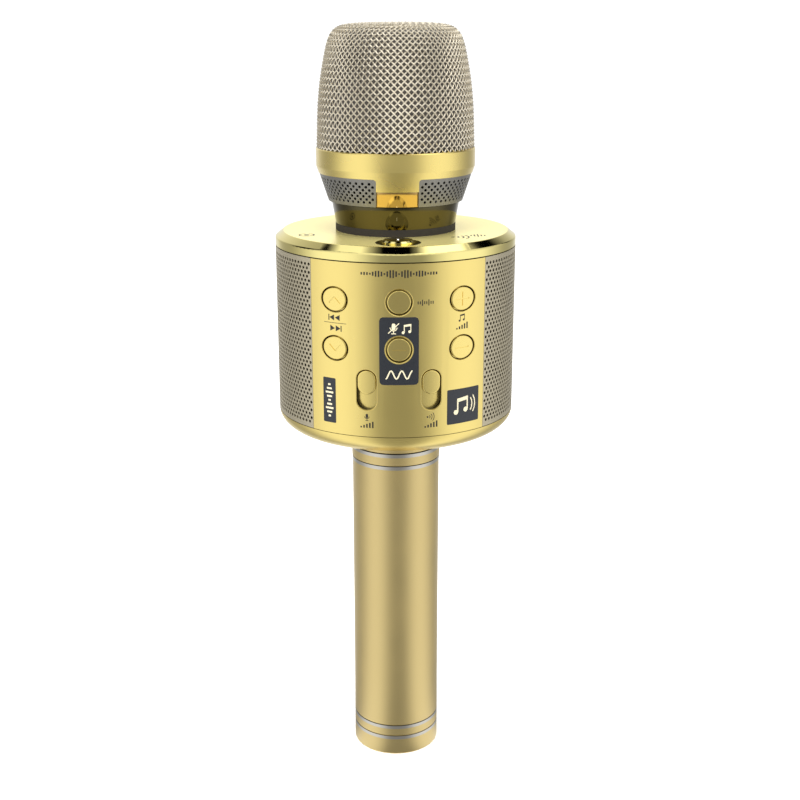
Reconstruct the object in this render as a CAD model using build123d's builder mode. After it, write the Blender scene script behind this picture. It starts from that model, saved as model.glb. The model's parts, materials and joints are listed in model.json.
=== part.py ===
"""Karaoke microphone: a woven-wire head on a loudspeaker drum, on a handle that holds the battery.

Millimetres. +Z runs up the handle's axis from its flat end, the control panel faces -Y, and the
loudspeakers face -X and +X. Every sub-part is written to parts/ under its own name.
"""

from math import cos, radians, sin, sqrt
import os

from build123d import *

os.makedirs("parts", exist_ok=True)

# ---------------------------------------------------------------- driving dimensions
GAP = 0.3  # free space between pieces that move against each other

HANDLE_R = 15.1
HANDLE_BORE_R = 13.6
CAP_TOP = 11.45
TUBE_BOTTOM, TUBE_TOP = 11.8, 109.2
RING_HEIGHT = 1.2
CAP_RING_BOTTOMS = (6.1, CAP_TOP - 1.15)
FERRULE_BOTTOM, FERRULE_TOP, FERRULE_R = 110.75, 113.6, 15.3
COLLAR_BOTTOM, COLLAR_TOP = 115.15, 120.9

STEM_R, STEM_BOTTOM = 13.4, 20.5
STEM_FLANGE_BOTTOM, STEM_FLANGE_TOP, STEM_FLANGE_R = 123.3, 125.3, 21.0
CELL_R, CELL_LENGTH, CELL_BOTTOM = 9.2, 65.0, 24.0

DRUM_R = 40.0
PLATE = 1.6  # thickness of the drum's curved panels
WALL_BOTTOM, WALL_TOP = 129.05, 184.65
SEAM = 0.35
COVER_TOP = 189.5
PANEL_HALF_ANGLE = 43.1
REAR_HALF_ANGLE = 24.0
PANEL_JOINT_ANGLE = 0.25
PANEL_INNER_R = DRUM_R - PLATE

CHASSIS_R = 38.3
LOWER_DISC, UPPER_DISC = (129.3, 131.3), (181.5, 183.5)
BAFFLE_INNER, BAFFLE_OUTER, BAFFLE_HALF_WIDTH = 25.0, 27.0, 26.0
SPEAKER_Z = 157.0

BOARD_FRONT, BOARD_BACK = -26.0, -24.4
PORT_BOARD = (139.4, 141.0)

BUTTON_X, BUTTON_HIGH_Z, BUTTON_LOW_Z = 19.9, 172.65, 157.1
BUTTON_HOLE_R, BUTTON_CAP_R, BUTTON_FLANGE_R = 4.1, 3.7, 4.9
HOLE_ROUNDING, SLOT_ROUNDING = 0.45, 0.2
BUTTON_BACK = -29.0
BUTTONS = {
    "previous_button": (-BUTTON_X, BUTTON_HIGH_Z, "up"),
    "next_button": (-BUTTON_X, BUTTON_LOW_Z, "down"),
    "scan_button": (0.0, BUTTON_HIGH_Z, None),
    "voice_button": (0.0, BUTTON_LOW_Z + 0.5, "minus"),
    "volume_up_button": (BUTTON_X, BUTTON_HIGH_Z, "plus"),
    "volume_down_button": (BUTTON_X, BUTTON_LOW_Z, "minus"),
}

SLOT_X, SLOT_BOTTOM, SLOT_TOP, SLOT_WIDTH = 10.15, 137.7, 151.0, 6.3
THUMB_WIDTH, THUMB_HEIGHT, THUMB_Z = 5.7, 7.8, 146.8
SHIELD_WIDTH, SHIELD_HEIGHT = 8.4, 19.2
SLIDERS = {"mic_volume_slider": -SLOT_X, "echo_slider": SLOT_X}

POWER_Y, POWER_CAP_R, POWER_HOLE_R, POWER_DISH_R = -29.6, 5.0, 5.4, 7.2
POWER_CAP_TOP = COVER_TOP + 0.9

NECK_BORE_R, NECK_TUBE_R, NECK_THREAD_R = 16.4, 18.4, 19.3
GASKET_TOP, NECK_RING_TOP = 191.8, 198.9
NECK_FLANGE_R, NECK_FLANGE_TOP = 24.0, 185.3

HEAD_BOTTOM = 199.2
BASKET_TOP, BASKET_BOTTOM_R, BASKET_TOP_R = 208.2, 22.15, 25.1
BAND_R, BAND_BOTTOM, BAND_WALL_BOTTOM, BAND_TOP = 26.05, 208.2, 210.4, 216.2
BAND_BORE_R = 24.2
TAB_BOTTOM, TAB_HALF_WIDTH, TAB_CORNER_R, WINDOW_PLAY = 204.2, 6.75, 1.1, 0.1
MESH_WALL, FOAM_WALL = 0.8, 3.0
HEAD_TOP = 255.5


# ---------------------------------------------------------------- shared shapes
def sector(inner_r, outer_r, start, end):
    """A ring's sector between two angles in degrees, counted from +X."""
    with BuildSketch() as area:
        with BuildLine():
            outer = CenterArc((0, 0), outer_r, start, end - start)
            inner = CenterArc((0, 0), inner_r, start, end - start)
            Line(outer @ 0, inner @ 0)
            Line(outer @ 1, inner @ 1)
        make_face()
    return area.sketch


def curved_plate(name, inner_r, outer_r, start, end, bottom=WALL_BOTTOM, top=WALL_TOP):
    """Part of the drum's wall between two angles."""
    with BuildPart() as plate:
        with BuildSketch(Plane.XY.offset(bottom)):
            add(sector(inner_r, outer_r, start, end))
        extrude(amount=top - bottom)
    plate.part.label = name
    return plate.part


def turned(name, *outline):
    """A solid turned about the Z axis from an outline of (radius, height) corners."""
    with BuildPart() as body:
        with BuildSketch(Plane.XZ):
            with BuildLine():
                Polyline(*outline, close=True)
            make_face()
        revolve(axis=Axis.Z)
    body.part.label = name
    return body.part


def ring(name, inner_r, outer_r, bottom, top):
    """A plain ring around the Z axis."""
    return turned(name, (inner_r, bottom), (outer_r, bottom), (outer_r, top), (inner_r, top))


def save(part):
    export_step(part, f"parts/{part.label}.step")


# ---------------------------------------------------------------- end cap and its contact
SPIGOT_R, SPIGOT_BORE_R, SPIGOT_TOP, CAP_FLOOR = 13.3, 11.0, 19.0, 3.0
RING_SEAT_R, LINE_SEAT_R, LINE_HEIGHT = 13.9, 14.4, 0.35
LOW_RING, HIGH_RING = CAP_RING_BOTTOMS
LEDGE_R, LEDGE_TOP = 9.6, 13.7

with BuildPart() as end_cap:
    with BuildSketch(Plane.XZ):
        with BuildLine():
            Polyline(
                (0, 0),
                (HANDLE_R - 0.5, 0),
                (HANDLE_R, 0.5),
                (HANDLE_R, LOW_RING),
                (RING_SEAT_R, LOW_RING),
                (RING_SEAT_R, LOW_RING + RING_HEIGHT),
                (LINE_SEAT_R, LOW_RING + RING_HEIGHT),
                (LINE_SEAT_R, LOW_RING + RING_HEIGHT + LINE_HEIGHT),
                (HANDLE_R, LOW_RING + RING_HEIGHT + LINE_HEIGHT),
                (HANDLE_R, HIGH_RING),
                (RING_SEAT_R, HIGH_RING),
                (RING_SEAT_R, CAP_TOP),
                (SPIGOT_R, CAP_TOP),
                (SPIGOT_R, SPIGOT_TOP - 0.4),
                (SPIGOT_R - 0.4, SPIGOT_TOP),
                (SPIGOT_BORE_R, SPIGOT_TOP),
                (SPIGOT_BORE_R, LEDGE_TOP),
                (LEDGE_R, LEDGE_TOP),
                (LEDGE_R, CAP_FLOOR),
                (0, CAP_FLOOR),
                close=True,
            )
        make_face()
    revolve(axis=Axis.Z)
end_cap.part.label = "end_cap"
save(end_cap.part)

with BuildPart() as cap_rings:
    for bottom, height in ((LOW_RING, RING_HEIGHT), (HIGH_RING, CAP_TOP - HIGH_RING)):
        with BuildSketch(Plane.XY.offset(bottom)):
            Circle(HANDLE_R)
            Circle(RING_SEAT_R, mode=Mode.SUBTRACT)
        extrude(amount=height)
cap_rings.part.label = "cap_rings"
save(cap_rings.part)

CONTACT_BOTTOM, CONTACT_TOP, CONTACT_R = LEDGE_TOP + GAP, LEDGE_TOP + GAP + 1.0, 10.6
with BuildPart() as tail_contact:
    with BuildSketch(Plane.XY.offset(CONTACT_BOTTOM)):
        Circle(CONTACT_R)
        with PolarLocations(CONTACT_R, 2):
            Rectangle(2.4, 3.0, mode=Mode.SUBTRACT)
    extrude(amount=CONTACT_TOP - CONTACT_BOTTOM)
tail_contact.part.label = "tail_contact"
save(tail_contact.part)

SPRING_WIRE, SPRING_TURNS, SPRING_LOW_R, SPRING_TAPER = 0.7, 4, 7.4, -21.0
SPRING_BOTTOM = CONTACT_TOP + SPRING_WIRE / 2
SPRING_HEIGHT = CELL_BOTTOM - GAP - SPRING_WIRE / 2 - SPRING_BOTTOM
with BuildPart() as tail_spring:
    with BuildLine():
        coil = Helix(
            pitch=SPRING_HEIGHT / SPRING_TURNS,
            height=SPRING_HEIGHT,
            radius=SPRING_LOW_R,
            center=(0, 0, SPRING_BOTTOM),
            cone_angle=SPRING_TAPER,
        )
    with BuildSketch(Plane(origin=coil @ 0, x_dir=(1, 0, 0), z_dir=coil % 0)):
        Rectangle(SPRING_WIRE, SPRING_WIRE)
    sweep(is_frenet=True)
tail_spring.part.label = "tail_spring"
save(tail_spring.part)


# ---------------------------------------------------------------- handle
save(ring("handle_tube", HANDLE_BORE_R, HANDLE_R, TUBE_BOTTOM, TUBE_TOP))
RING_BORE_R = STEM_R + 0.1
save(ring("grip_ring_low", RING_BORE_R, HANDLE_R + 0.1, TUBE_TOP, TUBE_TOP + RING_HEIGHT))
save(ring("grip_ferrule", RING_BORE_R, FERRULE_R, FERRULE_BOTTOM, FERRULE_TOP))
save(ring("grip_ring_high", RING_BORE_R, FERRULE_R, FERRULE_TOP, FERRULE_TOP + RING_HEIGHT))
save(ring("handle_collar", RING_BORE_R, HANDLE_R - 0.05, COLLAR_BOTTOM, COLLAR_TOP))

BAY_R, PARTITION_BOTTOM, PARTITION_TOP, STEM_BORE_R = 9.6, 89.8, 92.3, 8.0
STEM_SCREW_R, STEM_PILOT_R, STEM_SCREW_PCR = 1.3, 1.1, 17.5
with BuildPart() as handle_stem:
    with BuildSketch(Plane.XZ):
        with BuildLine():
            Polyline(
                (BAY_R, STEM_BOTTOM),
                (STEM_R, STEM_BOTTOM),
                (STEM_R, STEM_FLANGE_BOTTOM),
                (STEM_FLANGE_R, STEM_FLANGE_BOTTOM),
                (STEM_FLANGE_R, STEM_FLANGE_TOP),
                (STEM_BORE_R, STEM_FLANGE_TOP),
                (STEM_BORE_R, PARTITION_TOP),
                (2.5, PARTITION_TOP),
                (2.5, PARTITION_BOTTOM),
                (BAY_R, PARTITION_BOTTOM),
                close=True,
            )
        make_face()
    revolve(axis=Axis.Z)
    with BuildSketch(Plane.XY.offset(STEM_FLANGE_BOTTOM)):
        with PolarLocations(STEM_SCREW_PCR, 3, start_angle=90):
            Circle(STEM_PILOT_R)
    extrude(amount=STEM_FLANGE_TOP - STEM_FLANGE_BOTTOM, mode=Mode.SUBTRACT)
handle_stem.part.label = "handle_stem"
save(handle_stem.part)

CELL_TOP = CELL_BOTTOM + CELL_LENGTH
with BuildPart() as battery_cell:
    with BuildSketch(Plane.XY.offset(CELL_BOTTOM)):
        Circle(CELL_R)
    extrude(amount=CELL_LENGTH - 0.8)
    fillet(battery_cell.edges().filter_by(GeomType.CIRCLE), 0.6)
    with BuildSketch(Plane.XY.offset(CELL_TOP - 0.8)):
        Circle(3.0)
    extrude(amount=0.8)
battery_cell.part.label = "battery_cell"
save(battery_cell.part)
save(ring("positive_contact", 1.0, 6.5, CELL_TOP, PARTITION_BOTTOM))


# ---------------------------------------------------------------- drum covers and panels
COVER_ROUND_R, COVER_ROUND_H, COVER_WALL = 12.5, 7.4, 2.0
ROUND_CENTRE_R, ROUND_CENTRE_Z = DRUM_R - 0.05 - COVER_ROUND_R, WALL_BOTTOM - 0.2
with BuildPart() as bottom_cover:
    with BuildSketch(Plane.XZ):
        with BuildLine():
            centre = (ROUND_CENTRE_R, ROUND_CENTRE_Z)
            outside, inside = [
                EllipticalCenterArc(
                    centre,
                    COVER_ROUND_R - wall,
                    COVER_ROUND_H - wall,
                    start_angle=-90,
                    arc_size=90,
                )
                for wall in (0, COVER_WALL)
            ]
            Polyline(
                outside @ 0,
                (RING_BORE_R, COLLAR_TOP),
                (RING_BORE_R, COLLAR_TOP + COVER_WALL + 0.2),
                inside @ 0,
            )
            Line(inside @ 1, outside @ 1)
        make_face()
    revolve(axis=Axis.Z)
bottom_cover.part.label = "bottom_cover"
save(bottom_cover.part)

TOP_RIM_R, TOP_RIM_BOTTOM, BEVEL_BOTTOM, BEVEL_TOP_R = 39.95, WALL_TOP + SEAM, 187.5, 37.3
COVER_CEILING = COVER_TOP - 1.8
with BuildPart() as top_cover:
    with BuildSketch(Plane.XZ):
        with BuildLine():
            Polyline(
                (NECK_TUBE_R + 0.1, COVER_TOP),
                (BEVEL_TOP_R, COVER_TOP),
                (TOP_RIM_R, BEVEL_BOTTOM),
                (TOP_RIM_R, TOP_RIM_BOTTOM),
                (CHASSIS_R, TOP_RIM_BOTTOM),
                (CHASSIS_R, COVER_CEILING),
                (NECK_TUBE_R + 0.1, COVER_CEILING),
                close=True,
            )
        make_face()
    revolve(axis=Axis.Z)
    bevel_edges = [
        edge
        for edge in top_cover.edges().filter_by(GeomType.CIRCLE)
        if abs(edge.radius - BEVEL_TOP_R) < 0.01
        or (abs(edge.radius - TOP_RIM_R) < 0.01 and edge.center().Z > BEVEL_BOTTOM - 0.01)
    ]
    fillet(bevel_edges, 0.7)
    with Locations((0, POWER_Y, COVER_TOP)):
        CounterSinkHole(
            radius=POWER_HOLE_R, counter_sink_radius=POWER_DISH_R, counter_sink_angle=120
        )
top_cover.part.label = "top_cover"
save(top_cover.part)

with BuildPart() as control_panel:
    with BuildSketch(Plane.XY.offset(WALL_BOTTOM)):
        add(sector(PANEL_INNER_R, DRUM_R, -90 - PANEL_HALF_ANGLE, -90 + PANEL_HALF_ANGLE))
    extrude(amount=WALL_TOP - WALL_BOTTOM)
    with BuildSketch(Plane.XZ.offset(20)):
        with Locations(*[(x, z) for x, z, _ in BUTTONS.values()]):
            Circle(BUTTON_HOLE_R)
        with Locations(*[(x, (SLOT_TOP + SLOT_BOTTOM) / 2) for x in SLIDERS.values()]):
            SlotOverall(SLOT_TOP - SLOT_BOTTOM, SLOT_WIDTH, rotation=90)
    extrude(amount=DRUM_R, mode=Mode.SUBTRACT)
    front = control_panel.faces().sort_by(lambda face: face.bounding_box().min.Y)[0]
    holes = front.inner_wires()
    fillet([edge for wire in holes for edge in wire.edges() if wire.length < 27], HOLE_ROUNDING)
    fillet([edge for wire in holes for edge in wire.edges() if wire.length > 27], SLOT_ROUNDING)
control_panel.part.label = "control_panel"
save(control_panel.part)

PORT_Z = {"charge": PORT_BOARD[1] + 1.5, "aux": PORT_BOARD[1] + 2.75, "card": PORT_BOARD[1] + 0.9}
PORT_X = {"charge": -1.6, "aux": -10.2, "card": 9.2}
with BuildPart() as rear_panel:
    with BuildSketch(Plane.XY.offset(WALL_BOTTOM)):
        add(sector(PANEL_INNER_R, DRUM_R, 90 - REAR_HALF_ANGLE, 90 + REAR_HALF_ANGLE))
    extrude(amount=WALL_TOP - WALL_BOTTOM)
    with BuildSketch(Plane.XZ.offset(-20)):
        with Locations((PORT_X["aux"], PORT_Z["aux"])):
            Circle(3.1)
        with Locations((PORT_X["charge"], PORT_Z["charge"])):
            RectangleRounded(8.6, 3.4, 1.2)
        with Locations((PORT_X["card"], PORT_Z["card"])):
            RectangleRounded(12.0, 1.6, 0.5)
    extrude(amount=-DRUM_R, mode=Mode.SUBTRACT)
rear_panel.part.label = "rear_panel"
save(rear_panel.part)

GRILLE_R, GRILLE_WALL, CLOTH_WALL = 39.95, 0.8, 0.3
GRILLE_START = -90 + PANEL_HALF_ANGLE + PANEL_JOINT_ANGLE
GRILLE_END = 90 - REAR_HALF_ANGLE - PANEL_JOINT_ANGLE
for side, start, end in (
    ("right", GRILLE_START, GRILLE_END),
    ("left", 180 - GRILLE_END, 180 - GRILLE_START),
):
    save(curved_plate(f"{side}_grille", GRILLE_R - GRILLE_WALL, GRILLE_R, start, end))

CLOTH_R = GRILLE_R - GRILLE_WALL
with BuildPart() as grille_cloths:
    with BuildSketch(Plane.XY.offset(WALL_BOTTOM + 0.5)):
        add(sector(CLOTH_R - CLOTH_WALL, CLOTH_R, GRILLE_START + 1, GRILLE_END - 1))
        add(sector(CLOTH_R - CLOTH_WALL, CLOTH_R, 181 - GRILLE_END, 179 - GRILLE_START))
    extrude(amount=WALL_TOP - WALL_BOTTOM - 1)
grille_cloths.part.label = "grille_cloths"
save(grille_cloths.part)


# ---------------------------------------------------------------- chassis and screws
NECK_SCREW_PCR = 21.5
WIRE_HOLE_R = 10.0
SPEAKER_HOLE_R = 18.2
with BuildPart() as chassis:
    for bottom, top in (LOWER_DISC, UPPER_DISC):
        with BuildSketch(Plane.XY.offset(bottom)):
            Circle(CHASSIS_R)
            Circle(WIRE_HOLE_R, mode=Mode.SUBTRACT)
        extrude(amount=top - bottom)
    for x in (-BAFFLE_OUTER, BAFFLE_INNER):
        with BuildSketch(Plane.YZ.offset(x)):
            with Locations((0, (LOWER_DISC[1] + UPPER_DISC[0]) / 2)):
                Rectangle(2 * BAFFLE_HALF_WIDTH, UPPER_DISC[0] - LOWER_DISC[1])
            with Locations((0, SPEAKER_Z)):
                Circle(SPEAKER_HOLE_R, mode=Mode.SUBTRACT)
        extrude(amount=BAFFLE_OUTER - BAFFLE_INNER)
    with BuildSketch(Plane.XY.offset(STEM_FLANGE_TOP)):
        with PolarLocations(STEM_SCREW_PCR, 3, start_angle=90):
            Circle(3.2)
    extrude(amount=LOWER_DISC[0] - STEM_FLANGE_TOP)
    with BuildSketch(Plane.XY.offset(STEM_FLANGE_TOP)):
        with PolarLocations(STEM_SCREW_PCR, 3, start_angle=90):
            Circle(STEM_SCREW_R)
    extrude(amount=LOWER_DISC[1] - STEM_FLANGE_TOP, mode=Mode.SUBTRACT)
    with BuildSketch(Plane.XY.offset(UPPER_DISC[0])):
        with PolarLocations(NECK_SCREW_PCR, 3, start_angle=90):
            Circle(STEM_PILOT_R)
    extrude(amount=UPPER_DISC[1] - UPPER_DISC[0], mode=Mode.SUBTRACT)
chassis.part.label = "chassis"
save(chassis.part)

SCREW_HEAD_R, SCREW_HEAD_H = 2.2, 1.3
with BuildPart() as case_screws:
    for radius, top, bottom in (
        (STEM_SCREW_PCR, LOWER_DISC[1], STEM_FLANGE_BOTTOM + 0.2),
        (NECK_SCREW_PCR, NECK_FLANGE_TOP, UPPER_DISC[0]),
    ):
        with BuildSketch(Plane.XY.offset(bottom)):
            with PolarLocations(radius, 3, start_angle=90):
                Circle(STEM_PILOT_R)
        extrude(amount=top - bottom)
        with BuildSketch(Plane.XY.offset(top)):
            with PolarLocations(radius, 3, start_angle=90):
                Circle(SCREW_HEAD_R)
                RegularPolygon(0.8, 6, mode=Mode.SUBTRACT)
        extrude(amount=SCREW_HEAD_H)
case_screws.part.label = "case_screws"
save(case_screws.part)


# ---------------------------------------------------------------- loudspeakers
def about_x(side, *outline):
    """An outline of (distance out, radius) corners turned about the speaker's own axis."""
    with BuildPart() as body:
        with BuildSketch(Plane.XZ):
            with BuildLine():
                Polyline(*[(side * out, SPEAKER_Z + r) for out, r in outline], close=True)
            make_face()
        revolve(axis=Axis((0, 0, SPEAKER_Z), (1, 0, 0)))
    return body.part


for side, sign in (("left", -1), ("right", 1)):
    with BuildPart() as speaker_frame:
        add(about_x(
            sign,
            (BAFFLE_OUTER, 17.6),
            (BAFFLE_OUTER, 20.5),
            (28.5, 20.5),
            (28.5, 16.6),
            (27.4, 16.6),
            (19.0, 12.4),
            (19.0, 7.4),
            (18.0, 7.4),
            (18.0, 13.4),
        ))
        with BuildSketch(Plane.YZ.offset(sign * 19.4)):
            with Locations((0, SPEAKER_Z)):
                with PolarLocations(16.5, 4, start_angle=45):
                    Rectangle(9.0, 9.0)
        extrude(amount=sign * 5.0, mode=Mode.SUBTRACT)
    speaker_frame.part.label = f"{side}_speaker_frame"
    save(speaker_frame.part)

    with BuildPart() as speaker_magnet:
        add(about_x(
            sign,
            (9.5, 0),
            (9.5, 12.5),
            (11.0, 13.0),
            (16.5, 13.0),
            (16.5, 12.5),
            (18.0, 12.5),
            (18.0, 7.2),
            (11.0, 7.2),
            (11.0, 5.8),
            (18.0, 5.8),
            (18.0, 0),
        ))
    speaker_magnet.part.label = f"{side}_speaker_magnet"
    save(speaker_magnet.part)

    with BuildPart() as speaker_surround:
        with BuildSketch(Plane.XZ):
            with BuildLine():
                outer_roll = CenterArc((sign * 28.5, SPEAKER_Z + 17.6), 1.7, 0, 180)
                inner_roll = CenterArc((sign * 28.5, SPEAKER_Z + 17.6), 1.2, 0, 180)
                Line(outer_roll @ 0, inner_roll @ 0)
                Line(outer_roll @ 1, inner_roll @ 1)
            make_face()
        revolve(axis=Axis((0, 0, SPEAKER_Z), (1, 0, 0)))
        with BuildSketch(Plane.YZ.offset(sign * 28.5)):
            with Locations((0, SPEAKER_Z)):
                Circle(25)
        extrude(amount=-sign * 6, mode=Mode.SUBTRACT)
    speaker_surround.part.label = f"{side}_speaker_surround"
    save(speaker_surround.part)

    with BuildPart() as speaker_cone:
        add(about_x(
            sign,
            (13.0, 6.8),
            (22.6, 6.8),
            (28.6, 15.4),
            (29.2, 15.4),
            (29.2, 14.8),
            (23.4, 6.0),
            (25.0, 4.2),
            (25.6, 2.2),
            (25.8, 0),
            (25.2, 0),
            (25.0, 2.0),
            (24.4, 3.9),
            (22.8, 6.2),
            (13.0, 6.2),
        ))
    speaker_cone.part.label = f"{side}_speaker_cone"
    save(speaker_cone.part)


# ---------------------------------------------------------------- boards, switches and sockets
BOARD_HALF_WIDTH = 22.0
with BuildPart() as main_board:
    with BuildSketch(Plane.XZ.offset(-BOARD_FRONT)):
        with Locations((0, (LOWER_DISC[1] + UPPER_DISC[0]) / 2)):
            Rectangle(2 * BOARD_HALF_WIDTH, UPPER_DISC[0] - LOWER_DISC[1])
    extrude(amount=BOARD_FRONT - BOARD_BACK)
main_board.part.label = "main_board"
save(main_board.part)

CHIPS = ((-10, 164, 9, 9, 1.6), (8, 166, 7, 5, 1.2), (-12, 142, 6, 6, 2.4), (13, 144, 8, 8, 4.0))
with BuildPart() as board_chips:
    for x, z, width, height, depth in CHIPS:
        with BuildSketch(Plane.XZ.offset(-BOARD_BACK - depth)):
            with Locations((x, z)):
                Rectangle(width, height)
        extrude(amount=depth)
board_chips.part.label = "board_chips"
save(board_chips.part)

POWER_BOARD = (UPPER_DISC[1], UPPER_DISC[1] + 1.2)
SWITCH_SIZE, SWITCH_BODY, SWITCH_HEIGHT = 6.0, 1.6, 2.2
with BuildPart() as tact_switches:
    for x, z, _ in BUTTONS.values():
        with BuildSketch(Plane.XZ.offset(-BOARD_FRONT)):
            with Locations((x * 0.955, z)):
                Rectangle(SWITCH_SIZE, SWITCH_SIZE)
        extrude(amount=SWITCH_BODY)
        with BuildSketch(Plane.XZ.offset(-BOARD_FRONT)):
            with Locations((x * 0.955, z)):
                Circle(1.6)
        extrude(amount=SWITCH_HEIGHT)
    with BuildSketch(Plane.XY.offset(POWER_BOARD[1])):
        with Locations((0, POWER_Y)):
            Rectangle(4.5, 4.5)
    extrude(amount=0.9)
    with BuildSketch(Plane.XY.offset(POWER_BOARD[1])):
        with Locations((0, POWER_Y)):
            Circle(1.2)
    extrude(amount=1.3)
tact_switches.part.label = "tact_switches"
save(tact_switches.part)

with BuildPart() as power_board:
    with BuildSketch(Plane.XY.offset(POWER_BOARD[0])):
        with Locations((0, POWER_Y)):
            RectangleRounded(12.0, 9.0, 1.0)
    extrude(amount=POWER_BOARD[1] - POWER_BOARD[0])
power_board.part.label = "power_board"
save(power_board.part)

POT_TOP = 3.2
with BuildPart() as slide_pots:
    for x in SLIDERS.values():
        with BuildSketch(Plane.XZ.offset(-BOARD_FRONT)):
            with Locations((x, 144.3)):
                Rectangle(7.0, 16.0)
        extrude(amount=POT_TOP)
slide_pots.part.label = "slide_pots"
save(slide_pots.part)

with BuildPart() as port_board:
    with BuildSketch(Plane.XY.offset(PORT_BOARD[0])):
        with Locations((0, 23.0)):
            Rectangle(2 * BAFFLE_INNER, 6.0)
        with Locations((0, 29.0)):
            Rectangle(31.0, 16.0)
        Circle(CHASSIS_R - 1.0, mode=Mode.INTERSECT)
    extrude(amount=PORT_BOARD[1] - PORT_BOARD[0])
port_board.part.label = "port_board"
save(port_board.part)

with BuildPart() as charge_socket:
    with BuildSketch(Plane.XZ.offset(-37.2)):
        with Locations((PORT_X["charge"], PORT_Z["charge"])):
            RectangleRounded(8.0, 3.0, 0.6)
    extrude(amount=7.0)
    with BuildSketch(Plane.XZ.offset(-37.2)):
        with Locations((PORT_X["charge"], PORT_Z["charge"])):
            RectangleRounded(7.2, 2.2, 0.4)
            Rectangle(4.0, 0.7, mode=Mode.SUBTRACT)
    extrude(amount=5.6, mode=Mode.SUBTRACT)
charge_socket.part.label = "charge_socket"
save(charge_socket.part)

JACK_FRONT, JACK_LENGTH, JACK_BORE_R, JACK_BORE_LENGTH = 35.8, 13.5, 1.8, 12.0
with BuildPart() as aux_jack:
    with BuildSketch(Plane.XZ.offset(-JACK_FRONT)):
        with Locations((PORT_X["aux"], PORT_Z["aux"])):
            Rectangle(6.4, 5.5)
    extrude(amount=JACK_LENGTH)
    with BuildSketch(Plane.XZ.offset(-JACK_FRONT)):
        with Locations((PORT_X["aux"], PORT_Z["aux"])):
            Circle(JACK_BORE_R)
    extrude(amount=JACK_BORE_LENGTH, mode=Mode.SUBTRACT)
aux_jack.part.label = "aux_jack"
save(aux_jack.part)

with BuildPart() as card_socket:
    with BuildSketch(Plane.XZ.offset(-34.6)):
        with Locations((PORT_X["card"], PORT_Z["card"])):
            Rectangle(12.6, 1.8)
    extrude(amount=13.5)
    with BuildSketch(Plane.XZ.offset(-34.6)):
        with Locations((PORT_X["card"], PORT_Z["card"])):
            Rectangle(11.4, 0.9)
    extrude(amount=12.5, mode=Mode.SUBTRACT)
card_socket.part.label = "card_socket"
save(card_socket.part)


# ---------------------------------------------------------------- buttons
MARK_WIDTH, MARK_DEPTH, CAP_FACE_R, CAP_BACK_R = 0.35, 0.18, DRUM_R - 0.05, 36.0


def front_prism(outline, near, far):
    """Runs an outline, drawn facing the panel, from y = -near to y = -far."""
    with BuildPart() as prism:
        with BuildSketch(Plane.XZ.offset(near)):
            outline()
        extrude(amount=far - near)
    return prism.part


def between_radii(part, inner_r, outer_r):
    """What of a part lies between two radii from the handle's axis."""
    with BuildPart() as kept:
        add(part)
        with BuildSketch(Plane.XY.offset(WALL_BOTTOM)):
            Circle(outer_r)
            if inner_r:
                Circle(inner_r, mode=Mode.SUBTRACT)
        extrude(amount=WALL_TOP - WALL_BOTTOM, mode=Mode.INTERSECT)
    return kept.part


def mark_lines(kind):
    """Adds the thin bars of a button's engraved mark to the sketch, centred on it."""
    arm = 2.6
    if kind in ("plus", "minus"):
        Rectangle(arm * 1.7, MARK_WIDTH)
    if kind == "plus":
        Rectangle(MARK_WIDTH, arm * 1.7)
    if kind in ("up", "down"):
        turn = 1 if kind == "up" else -1
        for lean in (-1, 1):
            with Locations((lean * 0.9, -0.2 * turn)):
                Rectangle(MARK_WIDTH, arm, rotation=lean * turn * 40)


def disc_at(x, z, radius):
    with Locations((x, z)):
        Circle(radius)


def mark_at(x, z, kind):
    with Locations((x, z)):
        mark_lines(kind)


for name, (x, z, kind) in BUTTONS.items():
    cap = between_radii(
        front_prism(lambda: disc_at(x, z, BUTTON_CAP_R), 30, 42), CAP_BACK_R, CAP_FACE_R
    )
    web_front = sqrt((PANEL_INNER_R - GAP) ** 2 - x**2)
    web_back = web_front - 1.4 if x == 0 else -BUTTON_BACK
    flange = between_radii(
        front_prism(lambda: disc_at(x, z, BUTTON_FLANGE_R), web_back, 42), 0, PANEL_INNER_R - GAP
    )
    with BuildPart() as button:
        add(cap)
        fillet(button.faces().sort_by(Axis.Y)[0].edges(), 0.35)
        add(flange)
        with BuildSketch(Plane.XZ.offset(-BUTTON_BACK)):
            disc_at(x, z, 1.6)
        extrude(amount=web_front + BUTTON_BACK)
        if kind:
            engraving = front_prism(lambda: mark_at(x, z, kind), 30, 42)
            add(between_radii(engraving, CAP_FACE_R - MARK_DEPTH, 44), mode=Mode.SUBTRACT)
    button.part.label = name
    save(button.part)

POWER_FLANGE = (COVER_CEILING - 0.8, COVER_CEILING - 0.2)
with BuildPart() as power_button:
    with BuildSketch(Plane.XY.offset(POWER_FLANGE[0])):
        with Locations((0, POWER_Y)):
            Circle(POWER_CAP_R + 1.2)
    extrude(amount=POWER_FLANGE[1] - POWER_FLANGE[0])
    with BuildSketch(Plane.XY.offset(POWER_FLANGE[0])):
        with Locations((0, POWER_Y)):
            Circle(POWER_CAP_R)
    extrude(amount=POWER_CAP_TOP - POWER_FLANGE[0])
    chamfer(power_button.faces().sort_by(Axis.Z)[-1].edges(), 0.5)
power_button.part.label = "power_button"
save(power_button.part)


# ---------------------------------------------------------------- sliders
SHIELD_OUTER_R, SHIELD_WALL, LEVER_WIDTH, LEVER_HEIGHT = PANEL_INNER_R - GAP, 0.7, 3.0, 1.6
LEVER_BACK = -BOARD_FRONT + POT_TOP + GAP


def block_at(x, z, width, height):
    with Locations((x, z)):
        Rectangle(width, height)


def thumb_at(x):
    with Locations((x, THUMB_Z)):
        SlotOverall(THUMB_HEIGHT, THUMB_WIDTH, rotation=90)


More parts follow.
